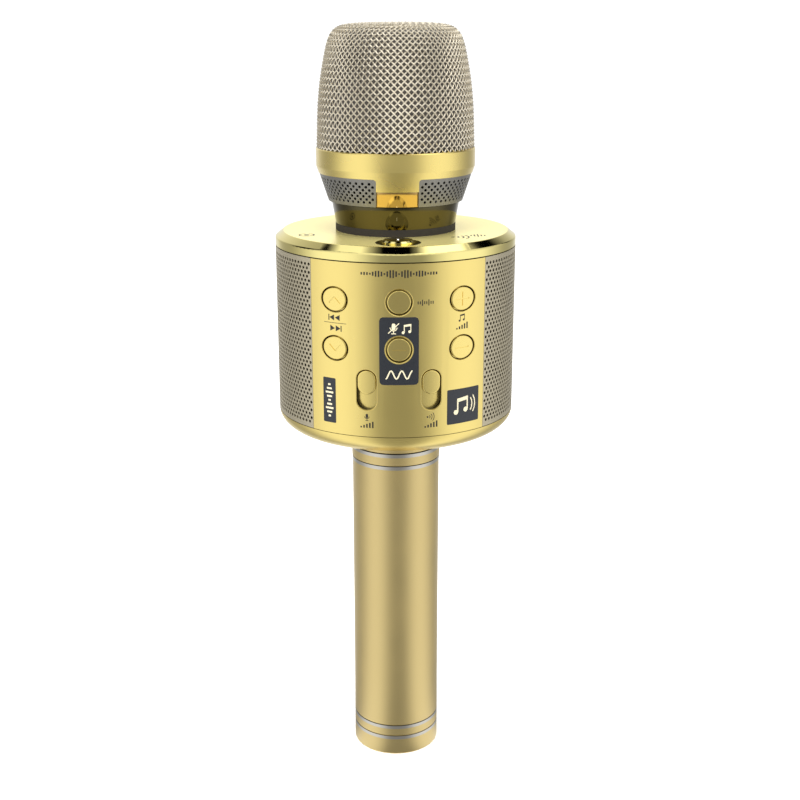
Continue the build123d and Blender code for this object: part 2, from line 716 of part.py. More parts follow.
for name, x in SLIDERS.items():
    thumb = between_radii(
        front_prism(lambda: thumb_at(x), 30, 42), SHIELD_OUTER_R - SHIELD_WALL, CAP_FACE_R
    )
    shield = between_radii(
        front_prism(lambda: block_at(x, THUMB_Z, SHIELD_WIDTH, SHIELD_HEIGHT), 20, 42),
        SHIELD_OUTER_R - SHIELD_WALL,
        SHIELD_OUTER_R,
    )
    lever = between_radii(
        front_prism(lambda: block_at(x, THUMB_Z, LEVER_WIDTH, LEVER_HEIGHT), LEVER_BACK, 42),
        0,
        SHIELD_OUTER_R - SHIELD_WALL / 2,
    )
    with BuildPart() as slider:
        add(thumb)
        fillet(slider.faces().sort_by(Axis.Y)[0].edges(), 0.4)
        add(shield)
        add(lever)
    slider.part.label = name
    save(slider.part)


# ---------------------------------------------------------------- neck and capsule
save(ring("neck_gasket", NECK_TUBE_R + 0.1, 19.9, COVER_TOP, GASKET_TOP))
save(
    turned(
        "neck_ring",
        (NECK_TUBE_R + 0.1, GASKET_TOP),
        (19.85, GASKET_TOP),
        (21.1, NECK_RING_TOP),
        (NECK_TUBE_R + 0.1, NECK_RING_TOP),
    )
)
SOCKET_TOP = 213.0
with BuildPart() as neck_socket:
    with BuildSketch(Plane.XZ):
        with BuildLine():
            Polyline(
                (NECK_BORE_R, UPPER_DISC[1]),
                (NECK_FLANGE_R, UPPER_DISC[1]),
                (NECK_FLANGE_R, NECK_FLANGE_TOP),
                (NECK_TUBE_R, NECK_FLANGE_TOP),
                (NECK_TUBE_R, NECK_RING_TOP),
                (NECK_THREAD_R, NECK_RING_TOP),
                (NECK_THREAD_R, SOCKET_TOP - 0.5),
                (NECK_THREAD_R - 0.5, SOCKET_TOP),
                (NECK_BORE_R, SOCKET_TOP),
                close=True,
            )
        make_face()
    revolve(axis=Axis.Z)
    with BuildSketch(Plane.XY.offset(UPPER_DISC[1])):
        with PolarLocations(NECK_SCREW_PCR, 3, start_angle=90):
            Circle(STEM_SCREW_R)
    extrude(amount=NECK_FLANGE_TOP - UPPER_DISC[1], mode=Mode.SUBTRACT)
neck_socket.part.label = "neck_socket"
save(neck_socket.part)

CAPSULE_R, CAPSULE_BOTTOM, CAPSULE_TOP = 12.0, 216.0, 233.0
with BuildPart() as capsule_can:
    with BuildSketch(Plane.XY.offset(CAPSULE_BOTTOM)):
        Circle(CAPSULE_R)
    extrude(amount=CAPSULE_TOP - CAPSULE_BOTTOM)
    fillet(capsule_can.edges().filter_by(GeomType.CIRCLE).sort_by(Axis.Z)[-1:], 1.2)
    with BuildSketch(Plane.XY.offset(CAPSULE_TOP)):
        Circle(0.8)
        for radius, count in ((3.4, 6), (6.8, 12)):
            with PolarLocations(radius, count):
                Circle(0.8)
    extrude(amount=-1.0, mode=Mode.SUBTRACT)
capsule_can.part.label = "capsule_can"
save(capsule_can.part)

MOUNT_R, MOUNT_TOP = 15.2, 222.0
save(
    turned(
        "capsule_mount",
        (3.0, CAPSULE_BOTTOM - 3.0),
        (MOUNT_R + 2.4, CAPSULE_BOTTOM - 3.0),
        (MOUNT_R + 2.4, CAPSULE_BOTTOM - 1.6),
        (MOUNT_R, CAPSULE_BOTTOM),
        (MOUNT_R - 0.7, MOUNT_TOP),
        (CAPSULE_R, MOUNT_TOP),
        (CAPSULE_R, CAPSULE_BOTTOM),
        (3.0, CAPSULE_BOTTOM),
    )
)


# ---------------------------------------------------------------- head
def basket_radius(z):
    """Outer radius of the head's lower cone at a height."""
    share = (z - HEAD_BOTTOM) / (BASKET_TOP - HEAD_BOTTOM)
    return BASKET_BOTTOM_R + share * (BASKET_TOP_R - BASKET_BOTTOM_R)


def tab_area():
    """The tab and the window under it, with concave corners where the tab leaves the band."""
    height = BASKET_TOP - HEAD_BOTTOM
    with BuildSketch() as area:
        with Locations((0, HEAD_BOTTOM + height / 2)):
            Rectangle(2 * TAB_HALF_WIDTH, height)
        for side in (-1, 1):
            with Locations((side * (TAB_HALF_WIDTH + TAB_CORNER_R / 2), BASKET_TOP - TAB_CORNER_R / 2)):
                Rectangle(TAB_CORNER_R, TAB_CORNER_R)
            with Locations((side * (TAB_HALF_WIDTH + TAB_CORNER_R), BASKET_TOP - TAB_CORNER_R)):
                Circle(TAB_CORNER_R, mode=Mode.SUBTRACT)
    return area.sketch


def cone_wall(outer_inset, inner_inset, top=BASKET_TOP):
    """Part of the lower cone's wall between two depths under its face."""
    with BuildPart() as wall:
        with BuildSketch(Plane.XZ):
            with BuildLine():
                Polyline(
                    (basket_radius(HEAD_BOTTOM) - inner_inset, HEAD_BOTTOM),
                    (basket_radius(HEAD_BOTTOM) - outer_inset, HEAD_BOTTOM),
                    (basket_radius(top) - outer_inset, top),
                    (basket_radius(top) - inner_inset, top),
                    close=True,
                )
            make_face()
        revolve(axis=Axis.Z)
    return wall.part


with BuildPart() as head_base:
    add(cone_wall(MESH_WALL + WINDOW_PLAY, MESH_WALL + 1.0, BASKET_TOP - 0.1))
    with BuildSketch(Plane.XY.offset(HEAD_BOTTOM)):
        Rectangle(2 * (TAB_HALF_WIDTH - WINDOW_PLAY), 80)
    extrude(amount=BASKET_TOP - HEAD_BOTTOM, mode=Mode.INTERSECT)
    with BuildSketch(Plane.XZ):
        with BuildLine():
            Polyline(
                (NECK_THREAD_R + GAP, HEAD_BOTTOM),
                (20.9, HEAD_BOTTOM),
                (22.0, 205.4),
                (22.0, 208.6),
                (BAND_BORE_R - 0.05, 209.8),
                (BAND_BORE_R - 0.05, 211.6),
                (NECK_THREAD_R + GAP, 211.6),
                close=True,
            )
        make_face()
    revolve(axis=Axis.Z)
head_base.part.label = "head_base"
save(head_base.part)

with BuildPart() as lower_basket:
    add(cone_wall(0, MESH_WALL))
    with BuildSketch(Plane.XZ):
        add(tab_area())
    extrude(amount=BAND_R, both=True, mode=Mode.SUBTRACT)
lower_basket.part.label = "lower_basket"
save(lower_basket.part)

with BuildPart() as head_band:
    add(cone_wall(0, MESH_WALL))
    with BuildSketch(Plane.XZ):
        add(tab_area())
    extrude(amount=BAND_R, both=True, mode=Mode.INTERSECT)
    with BuildSketch(Plane.XY.offset(HEAD_BOTTOM)):
        Rectangle(80, 80)
    extrude(amount=TAB_BOTTOM - HEAD_BOTTOM, mode=Mode.SUBTRACT)
    with BuildSketch(Plane.XZ):
        with BuildLine():
            Polyline(
                (BAND_BORE_R, BAND_BOTTOM),
                (basket_radius(BAND_BOTTOM) + 0.2, BAND_BOTTOM),
                (BAND_R, BAND_WALL_BOTTOM),
                (BAND_R, BAND_TOP - 0.3),
                (BAND_R - 0.3, BAND_TOP),
                (BAND_BORE_R, BAND_TOP),
                close=True,
            )
        make_face()
    revolve(axis=Axis.Z)
head_band.part.label = "head_band"
save(head_band.part)


def head_shell(name, inset, wall, bottom):
    """A dome inside the head's outline: drawn in by inset, with a wall of its own, cut off below."""
    with BuildPart() as shell:
        with BuildSketch(Plane.XZ):
            with BuildLine():
                outer, inner = [
                    Spline(
                        (25.9 - depth, bottom),
                        (25.05 - depth, 233.2),
                        (23.1 - depth, 245.4),
                        (21.2 - depth, 251.6 - 0.7 * depth),
                        (18.4 - depth, 254.2 - depth),
                        (12.4 - 0.7 * depth, 255.25 - depth),
                        (0, HEAD_TOP - depth),
                        tangents=((-0.04, 1.0), (-1.0, 0.0)),
                    )
                    for depth in (inset, inset + wall)
                ]
                Line(outer @ 0, inner @ 0)
                Line(outer @ 1, inner @ 1)
            make_face()
        revolve(axis=Axis.Z)
    shell.part.label = name
    return shell.part


save(head_shell("head_mesh", 0.0, MESH_WALL, BAND_TOP))
save(head_shell("head_foam", 2.0, FOAM_WALL, BAND_TOP + 0.2))


# ---------------------------------------------------------------- leads held inside
def lead(name, radius, routes):
    """Round wires, each along straight runs joined by tangent arcs."""
    with BuildPart() as wires:
        for points in routes:
            radii = []
            for before, corner, after in zip(points, points[1:], points[2:]):
                into, out = Vector(*corner) - Vector(*before), Vector(*after) - Vector(*corner)
                turn = into.get_angle(out)
                half = radians(turn / 2)
                radii.append(0.45 * min(into.length, out.length) / (sin(half) / cos(half)))
            with BuildLine():
                path = FilletPolyline(*points, radius=radii)
            with BuildSketch(Plane(origin=path @ 0, z_dir=path % 0)):
                Circle(radius)
            sweep(path=path)
    wires.part.label = name
    return wires.part


LEAD_R = 0.6
save(
    lead(
        "battery_leads",
        LEAD_R,
        [
            [
                (s * 1.2, 0, PARTITION_BOTTOM + 0.8),
                (s * 1.6, 1, 104),
                (s * 2.4, 0, 118),
                (s * 2.2, 3, 131),
                (s * 1.6, 18, 146),
                (s * 1.3, 21.5, PORT_BOARD[1] + LEAD_R),
            ]
            for s in (-1, 1)
        ],
    )
)
save(
    lead(
        "capsule_lead",
        0.9,
        [[(0, 1, 215.8), (0, 2, 206), (0, -1, 195), (0, -3, 184), (0, -12, 176), (0, -23.4, 173)]],
    )
)
save(
    lead(
        "speaker_leads",
        LEAD_R,
        [
            [(s * 15, -13.8, z), (s * 15.5, -17, z + 3), (s * 14, -23.7, z + 2)]
            for s in (-1, 1)
            for z in (151, 155)
        ],
    )
)
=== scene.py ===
"""Karaoke microphone: the woven head, punched sheets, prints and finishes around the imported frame.

Every length is in metres, in the frame's own axes: +Z up the handle, the control panel at -Y.
"""

import json
import math

import bmesh
import bpy
import numpy as np
from bpy.props import FloatProperty, FloatVectorProperty, IntProperty, PointerProperty
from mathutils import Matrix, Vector


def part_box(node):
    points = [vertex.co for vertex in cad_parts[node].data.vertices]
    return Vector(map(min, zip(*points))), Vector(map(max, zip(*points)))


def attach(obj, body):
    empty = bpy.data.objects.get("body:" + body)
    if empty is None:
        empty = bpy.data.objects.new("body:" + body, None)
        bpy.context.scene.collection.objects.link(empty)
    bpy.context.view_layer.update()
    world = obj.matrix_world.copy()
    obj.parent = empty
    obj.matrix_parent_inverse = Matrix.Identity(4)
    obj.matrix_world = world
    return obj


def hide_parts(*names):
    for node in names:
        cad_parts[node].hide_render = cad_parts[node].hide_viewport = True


bl_info = {
    "name": "Karaoke Microphone",
    "version": (1, 0, 0),
    "blender": (4, 5, 0),
    "location": "3D View > Sidebar > Microphone",
    "description": "Builds the woven head, punched sheets, prints and finishes of a microphone",
    "category": "Add Mesh",
}

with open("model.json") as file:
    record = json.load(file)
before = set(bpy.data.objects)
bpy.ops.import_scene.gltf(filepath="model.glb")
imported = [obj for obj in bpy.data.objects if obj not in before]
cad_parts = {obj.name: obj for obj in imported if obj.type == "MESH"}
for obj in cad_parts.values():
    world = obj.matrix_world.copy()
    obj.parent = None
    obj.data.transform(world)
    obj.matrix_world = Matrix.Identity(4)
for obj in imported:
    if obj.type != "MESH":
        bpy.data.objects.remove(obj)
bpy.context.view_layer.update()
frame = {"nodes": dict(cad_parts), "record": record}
MM = 0.001
WELD = 1e-7

# ---- places read from the frame
PANEL_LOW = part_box("control_panel")[0]
DRUM_R = -PANEL_LOW.y
GRILLE_LOW, GRILLE_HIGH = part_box("right_grille")
GRILLE_R = GRILLE_HIGH.x
GRILLE_START = math.asin(GRILLE_LOW.y / GRILLE_R)
GRILLE_END = math.asin(GRILLE_HIGH.y / GRILLE_R)
GRILLE_WALL = 0.5 * MM
CLOTH_LOW, CLOTH_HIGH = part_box("grille_cloths")
CLOTH_INSET = math.radians(1.0)
HEAD_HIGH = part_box("head_mesh")[1]
FOAM_LOW, FOAM_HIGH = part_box("head_foam")
BASKET_LOW, BASKET_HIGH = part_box("lower_basket")
TOP_FACE_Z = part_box("top_cover")[1].z
POWER_LOW, POWER_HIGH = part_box("power_button")
SOCKET_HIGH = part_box("neck_socket")[1]
CAP_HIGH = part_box("end_cap")[1]
RING_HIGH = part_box("cap_rings")[1]
# TAB_HALF is half the width of the basket's tabs; below HOLE_SHADE_DEPTH under the drum's surface the
# panel gets painted shade.
TAB_HALF, HOLE_SHADE_DEPTH = 6.75 * MM, 0.3 * MM


# ---- settings
def length_setting(name, description, default):
    """A setting in metres."""
    return FloatProperty(name=name, description=description, default=default, unit="LENGTH")


def angle_setting(name, description, default):
    """A setting in radians."""
    return FloatProperty(name=name, description=description, default=default, subtype="ANGLE")


def colour_setting(name, description, default):
    """A colour."""
    return FloatVectorProperty(name=name, description=description, default=default, subtype="COLOR")


class WeaveSettings(bpy.types.PropertyGroup):
    """Sizes of the woven head."""

    wire: length_setting("Wire", "Diameter of one wire", 0.46 * MM)
    around: IntProperty(
        name="Wires around", description="Wires that lean each way round the head", default=72
    )
    crown_radius: length_setting(
        "Crown radius", "Radius inside which the wires run straight across the top", 17.0 * MM
    )
    crown_pitch: length_setting("Crown pitch", "Distance between the straight wires on top", 1.5 * MM)


class SheetSettings(bpy.types.PropertyGroup):
    """Sizes of the punched sheets."""

    grille_pitch: length_setting(
        "Grille pitch", "Distance between holes along a row of the loudspeaker grilles", 1.68 * MM
    )
    grille_row: length_setting(
        "Grille row", "Distance between rows of the loudspeaker grilles", 1.31 * MM
    )
    grille_hole: length_setting("Grille hole", "Hole diameter", 1.04 * MM)
    basket_pitch: length_setting(
        "Basket pitch", "Distance between holes along a row of the lower basket", 2.2 * MM
    )
    basket_hole: length_setting("Basket hole", "Hole diameter", 0.98 * MM)


class FinishSettings(bpy.types.PropertyGroup):
    """Colours of the finishes."""

    satin_gold: colour_setting("Satin gold", "Colour of the panels and covers", (0.95, 0.76, 0.245))
    mirror_gold: colour_setting("Mirror gold", "Colour of the polished top cover", (0.96, 0.84, 0.335))
    handle_gold: colour_setting("Handle gold", "Colour of the blasted handle", (0.76, 0.60, 0.26))
    champagne: colour_setting("Champagne", "Colour of the head's wires", (0.74, 0.67, 0.53))
    print_ink: colour_setting("Print", "Colour of the printed marks", (0.012, 0.010, 0.007))
    label_slate: colour_setting("Label", "Colour of the dark labels", (0.010, 0.012, 0.016))


class StageSettings(bpy.types.PropertyGroup):
    """The camera and the light."""

    lens: FloatProperty(name="Lens", description="Focal length in millimetres", default=57.98, min=10.0)
    distance: length_setting(
        "Distance", "From the handle's axis to the camera, along the floor", 428.0 * MM
    )
    height: length_setting("Height", "Camera above the floor", 255.5 * MM)
    pitch: angle_setting("Pitch", "How far the camera looks down", math.radians(16.376))
    turn: angle_setting("Turn", "How far the microphone is turned from the camera", math.radians(1.5))
    tent_radius: length_setting(
        "Tent radius", "Radius of the light tent that the metal reflects", 190.0 * MM
    )


# ---- meshes from arrays
def grid_faces(rows, columns, wrap=True):
    """Quads between neighbours of a grid, row by row; wrap joins its last column to its first."""
    i = np.arange(rows - 1)[:, None]
    j = np.arange(columns if wrap else columns - 1)[None, :]
    after = (j + 1) % columns
    corners = [i * columns + j, i * columns + after, (i + 1) * columns + after, (i + 1) * columns + j]
    return np.stack(np.broadcast_arrays(*corners), axis=-1).reshape(-1, 4)


def joined(shells):
    """One (points, faces) from several, with each face index moved on by the points before it."""
    points, faces, start = [], [], 0
    for shell_points, shell_faces in shells:
        points.append(shell_points)
        faces.extend(array + start for array in shell_faces)
        start += len(shell_points)
    return np.concatenate(points), faces


def signed_volume(points, faces):
    """Sum over fan triangles of a . (b x c) / 6, positive where the faces point outwards."""
    total = 0.0
    for array in faces:
        for k in range(1, array.shape[1] - 1):
            a, b, c = points[array[:, 0]], points[array[:, k]], points[array[:, k + 1]]
            total += np.einsum("ij,ij->", a, np.cross(b, c)) / 6
    return total


def scene_object(name, data):
    """An object in the scene."""
    piece = bpy.data.objects.new(name, data)
    bpy.context.scene.collection.objects.link(piece)
    return piece


def make_piece(name, shell, body, slot, finish=None, crease=30.0, replaces=()):
    """A welded mesh object from (points, faces), faces outwards, riding on a body.

    Its finish is the one named after its slot, unless another is given.
    """
    points, faces = shell
    if signed_volume(points, faces) < 0:
        faces = [array[:, ::-1] for array in faces]
    mesh = bpy.data.meshes.new(name)
    corners = np.concatenate([array.ravel() for array in faces]).astype(np.int32)
    sizes = np.concatenate([np.full(len(array), array.shape[1]) for array in faces])
    starts = np.concatenate(([0], np.cumsum(sizes)[:-1])).astype(np.int32)
    mesh.vertices.add(len(points))
    mesh.vertices.foreach_set("co", np.ascontiguousarray(points, np.float32).ravel())
    mesh.loops.add(len(corners))
    mesh.loops.foreach_set("vertex_index", corners)
    mesh.polygons.add(len(sizes))
    mesh.polygons.foreach_set("loop_start", starts)
    mesh.update(calc_edges=True)
    build = bmesh.new()
    build.from_mesh(mesh)
    bmesh.ops.remove_doubles(build, verts=build.verts, dist=WELD)
    build.to_mesh(mesh)
    build.free()
    mesh.polygons.foreach_set("use_smooth", np.ones(len(mesh.polygons), bool))
    mesh.set_sharp_from_angle(angle=math.radians(crease))
    mesh.materials.append(bpy.data.materials[finish or slot])
    piece = scene_object(name, mesh)
    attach(piece, body)
    if replaces:
        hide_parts(*replaces)
    return piece


def tubes(path, normal, radius, sides):
    """Tubes along paths (wires, points, 3): each ring is path + radius (cos a * normal + sin a * side).

    side is the path's direction crossed with the normal, and both ends are closed.
    """
    wires, count, _ = path.shape
    along = np.gradient(path, axis=1)
    along /= np.linalg.norm(along, axis=-1, keepdims=True)
    normal = normal - np.sum(normal * along, axis=-1, keepdims=True) * along
    normal /= np.linalg.norm(normal, axis=-1, keepdims=True)
    side = np.cross(along, normal)
    angle = np.arange(sides) * 2 * np.pi / sides
    ring = (
        np.cos(angle)[:, None] * normal[:, :, None, :] + np.sin(angle)[:, None] * side[:, :, None, :]
    )
    points = path[:, :, None, :] + radius * ring
    step = np.arange(wires)[:, None, None] * count * sides
    walls = (grid_faces(count, sides)[None] + step).reshape(-1, 4)
    first = (np.arange(sides)[::-1][None, None] + step).reshape(-1, sides)
    last = (np.arange(sides)[None, None] + (count - 1) * sides + step).reshape(-1, sides)
    return points.reshape(-1, 3), [walls, first, last]


def turned_about_axis(points, angles):
    """Copies of points turned about Z by each angle, as (angles, ..., 3)."""
    c, s = (f(angles).reshape((-1,) + (1,) * (points.ndim - 1)) for f in (np.cos, np.sin))
    x, y, z = points[..., 0], points[..., 1], points[..., 2]
    return np.stack([c * x - s * y, s * x + c * y, np.broadcast_to(z, (c * x).shape)], axis=-1)


def round_axis(r, angle, z):
    """Points at a radius, an angle from +X and a height."""
    return np.stack(np.broadcast_arrays(r * np.cos(angle), r * np.sin(angle), z), axis=-1)


def border_walls(index, depth):
    """Quads round a grid's border to the same border depth points further on."""
    edge = np.concatenate([index[0, :-1], index[:-1, -1], index[-1, :0:-1], index[:0:-1, 0]])
    after = np.roll(edge, -1)
    return np.stack([after, edge, edge + depth, after + depth], axis=-1)


# ---- node groups and materials
def add_node(tree, kind, sockets=None, **settings):
    """A shader node with its settings. sockets gives inputs a constant or another node's output."""
    node = tree.nodes.new(f"ShaderNode{kind}")
    for name, value in settings.items():
        setattr(node, name, value)
    for key, value in (sockets or {}).items():
        if isinstance(value, bpy.types.NodeSocket):
            tree.links.new(value, node.inputs[key])
        else:
            node.inputs[key].default_value = value
    return node


def maths(tree, operation, *values, clamp=False):
    """The result of a Math node fed with outputs or numbers."""
    sockets = dict(enumerate(values))
    return add_node(tree, "Math", sockets, operation=operation, use_clamp=clamp).outputs[0]


def object_place(tree):
    """Object coordinates."""
    return add_node(tree, "TexCoord").outputs["Object"]


def mixed(tree, mask, low, high):
    """A colour between low and high, by a mask."""
    sockets = {"Factor": mask, "A": low, "B": high}
    return add_node(tree, "Mix", sockets, data_type="RGBA").outputs["Result"]


def new_group(name, numbers, results):
    """A shader node group: a Vector and named numbers go in and named numbers come out."""
    group = bpy.data.node_groups.new(name, "ShaderNodeTree")
    group.interface.new_socket("Vector", in_out="INPUT", socket_type="NodeSocketVector")
    for socket, value in numbers.items():
        made = group.interface.new_socket(socket, in_out="INPUT", socket_type="NodeSocketFloat")
        made.default_value = value
    for socket in results:
        group.interface.new_socket(socket, in_out="OUTPUT", socket_type="NodeSocketFloat")
    given, result = group.nodes.new("NodeGroupInput"), group.nodes.new("NodeGroupOutput")
    return group, given.outputs, result.inputs


def grain_group():
    """Fine grain: noise at a scale, as a height, and larger soft patches, as a mask."""
    numbers = {"Grain scale": 3000.0, "Patch scale": 60.0}
    group, given, result = new_group("fine_grain", numbers, ("Height", "Patches"))
    for scale, output, detail in (("Grain scale", "Height", 2.0), ("Patch scale", "Patches", 3.0)):
        sockets = {"Vector": given["Vector"], "Scale": given[scale], "Detail": detail}
        noise = add_node(group, "TexNoise", sockets)
        group.links.new(noise.outputs["Fac"], result[output])


def turning_group():
    """Turning marks: noise stretched round the axis, so that it changes only with height and radius."""
    group, given, result = new_group("turning_marks", {"Lines": 4000.0}, ("Height",))
    split = add_node(group, "SeparateXYZ", {0: given["Vector"]}).outputs
    flat = add_node(group, "CombineXYZ", {"X": split["X"], "Y": split["Y"]})
    radius = add_node(group, "VectorMath", {0: flat.outputs[0]}, operation="LENGTH")
    place = add_node(group, "CombineXYZ", {"X": radius.outputs["Value"], "Z": split["Z"]})
    sockets = {"Vector": place.outputs[0], "Scale": given["Lines"], "Detail": 1.0}
    noise = add_node(group, "TexNoise", sockets)
    group.links.new(noise.outputs["Fac"], result["Height"])


def weave_group():
    """Woven cloth: the sum of two wave patterns at right angles, as a height."""
    group, given, result = new_group("woven_threads", {"Threads": 1200.0}, ("Height",))
    sockets = {"Vector": given["Vector"], "Scale": given["Threads"]}
    waves = [
        add_node(group, "TexWave", sockets, bands_direction=direction).outputs["Fac"]
        for direction in ("DIAGONAL", "Z")
    ]
    group.links.new(maths(group, "ADD", *waves), result["Height"])


def place_group(tree, name, numbers=None):
    """The outputs of a group in a material, fed with object coordinates and its own values."""
    sockets = {"Vector": object_place(tree), **(numbers or {})}
    return add_node(tree, "Group", sockets, node_tree=bpy.data.node_groups[name]).outputs


def blank_material(name, colour, roughness, metallic, sockets):
    """A Principled material with constants on the shader's own sockets."""
    material = bpy.data.materials.new(name)
    material.use_nodes = True
    shader = material.node_tree.nodes["Principled BSDF"]
    shader.inputs["Base Color"].default_value = (*colour, 1.0)
    shader.inputs["Roughness"].default_value = roughness
    shader.inputs["Metallic"].default_value = metallic
    for socket, value in (sockets or {}).items():
        shader.inputs[socket].default_value = value
    return material, material.node_tree, shader


def vary(tree, shader, mask, colour, roughness, colour_change, roughness_change):
    """Moves base colour and roughness a little, from low to high, with a mask."""
    low = (*(c * (1 - colour_change) for c in colour), 1.0)
    high = (*(min(c * (1 + colour_change), 1.0) for c in colour), 1.0)
    tree.links.new(mixed(tree, mask, low, high), shader.inputs["Base Color"])
    span = {"Value": mask, "From Min": 0.3, "From Max": 0.7}
    span["To Min"] = max(roughness - roughness_change, 0.02)
    span["To Max"] = min(roughness + roughness_change, 1.0)
    tree.links.new(add_node(tree, "MapRange", span).outputs["Result"], shader.inputs["Roughness"])


def bump(tree, shader, height, depth, strength):
    """Relief of a depth in metres from a height."""
    node = add_node(tree, "Bump", {"Strength": strength, "Distance": depth, "Height": height})
    tree.links.new(node.outputs["Normal"], shader.inputs["Normal"])


def grained(
    name,
    colour,
    roughness,
    metallic,
    grain=3000.0,
    patch=60.0,
    depth=0.01 * MM,
    strength=0.4,
    colour_change=0.03,
    roughness_change=0.03,
    sockets=None,
):
    """A finish with fine grain and soft patches."""
    material, tree, shader = blank_material(name, colour, roughness, metallic, sockets)
    grains = place_group(tree, "fine_grain", {"Grain scale": grain, "Patch scale": patch})
    vary(tree, shader, grains["Patches"], colour, roughness, colour_change, roughness_change)
    bump(tree, shader, grains["Height"], depth, strength)
    return material


def satin_topped(name, colour, roughness, face_roughness, face_metallic):
    """Polished metal whose flat top face is satin: the mask is 1 where the height is the face's."""
    material, tree, shader = blank_material(name, colour, roughness, 1.0, None)
    height = add_node(tree, "SeparateXYZ", {0: object_place(tree)}).outputs["Z"]
    on_face = maths(tree, "COMPARE", height, TOP_FACE_Z, 0.02 * MM)
    faces = (("Roughness", roughness, face_roughness), ("Metallic", 1.0, face_metallic))
    for socket, polished, satin in faces:
        value = maths(tree, "MULTIPLY_ADD", on_face, satin - polished, polished)
        tree.links.new(value, shader.inputs[socket])
    grains = place_group(tree, "fine_grain", {"Grain scale": 400.0})
    bump(tree, shader, grains["Height"], 0.01 * MM, 0.02)
    return material


def shade_where(material, kept, comparison, reach, colour):
    """Paints shade into a finish: darkens its base colour except where the length of place x kept
    compares as asked with a reach.

    kept is the vector that keeps X alone, or X and Y.
    """
    tree = material.node_tree
    base = tree.nodes["Principled BSDF"].inputs["Base Color"]
    flat = add_node(tree, "VectorMath", {0: object_place(tree), 1: kept}, operation="MULTIPLY")
    size = add_node(tree, "VectorMath", {0: flat.outputs[0]}, operation="LENGTH")
    bright = maths(tree, comparison, size.outputs["Value"], reach)
    before = base.links[0].from_socket if base.is_linked else tuple(base.default_value)
    tree.links.new(mixed(tree, bright, (*colour, 1.0), before), base)


def lathe_turned(name, colour, roughness):
    """Bright turned metal: fine marks round the axis, over soft patches."""
    material, tree, shader = blank_material(name, colour, roughness, 1.0, None)
    patches = place_group(tree, "fine_grain")["Patches"]
    vary(tree, shader, patches, colour, roughness, 0.03, 0.04)
    bump(tree, shader, place_group(tree, "turning_marks")["Height"], 0.01 * MM, 0.4)
    return material


def open_cell_foam(name, colour):
    """Foam: dark pores between pale walls, from distances to scattered points."""
    material, tree, shader = blank_material(name, colour, 0.95, 0.0, {"Sheen Weight": 0.3})
    cells = add_node(tree, "TexVoronoi", {"Vector": object_place(tree), "Scale": 2600.0})
    ramp = add_node(tree, "ValToRGB", {"Fac": cells.outputs["Distance"]})
    for element, place, share in zip(ramp.color_ramp.elements, (0.12, 0.5), (0.6, 1.0)):
        element.position = place
        element.color = (*(share * c for c in colour), 1.0)
    tree.links.new(ramp.outputs["Color"], shader.inputs["Base Color"])
    bump(tree, shader, cells.outputs["Distance"], 0.1 * MM, 0.4)
    return material


def speaker_cloth(name, colour):
    """Woven cloth with fine threads."""
    material, tree, shader = blank_material(name, colour, 0.9, 0.0, {"Sheen Weight": 0.2})
    height = place_group(tree, "woven_threads", {"Threads": 900.0})["Height"]
    low = (*(0.5 * c for c in colour), 1.0)
    tree.links.new(mixed(tree, height, low, (*colour, 1.0)), shader.inputs["Base Color"])
    bump(tree, shader, height, 0.1 * MM, 0.6)
    return material


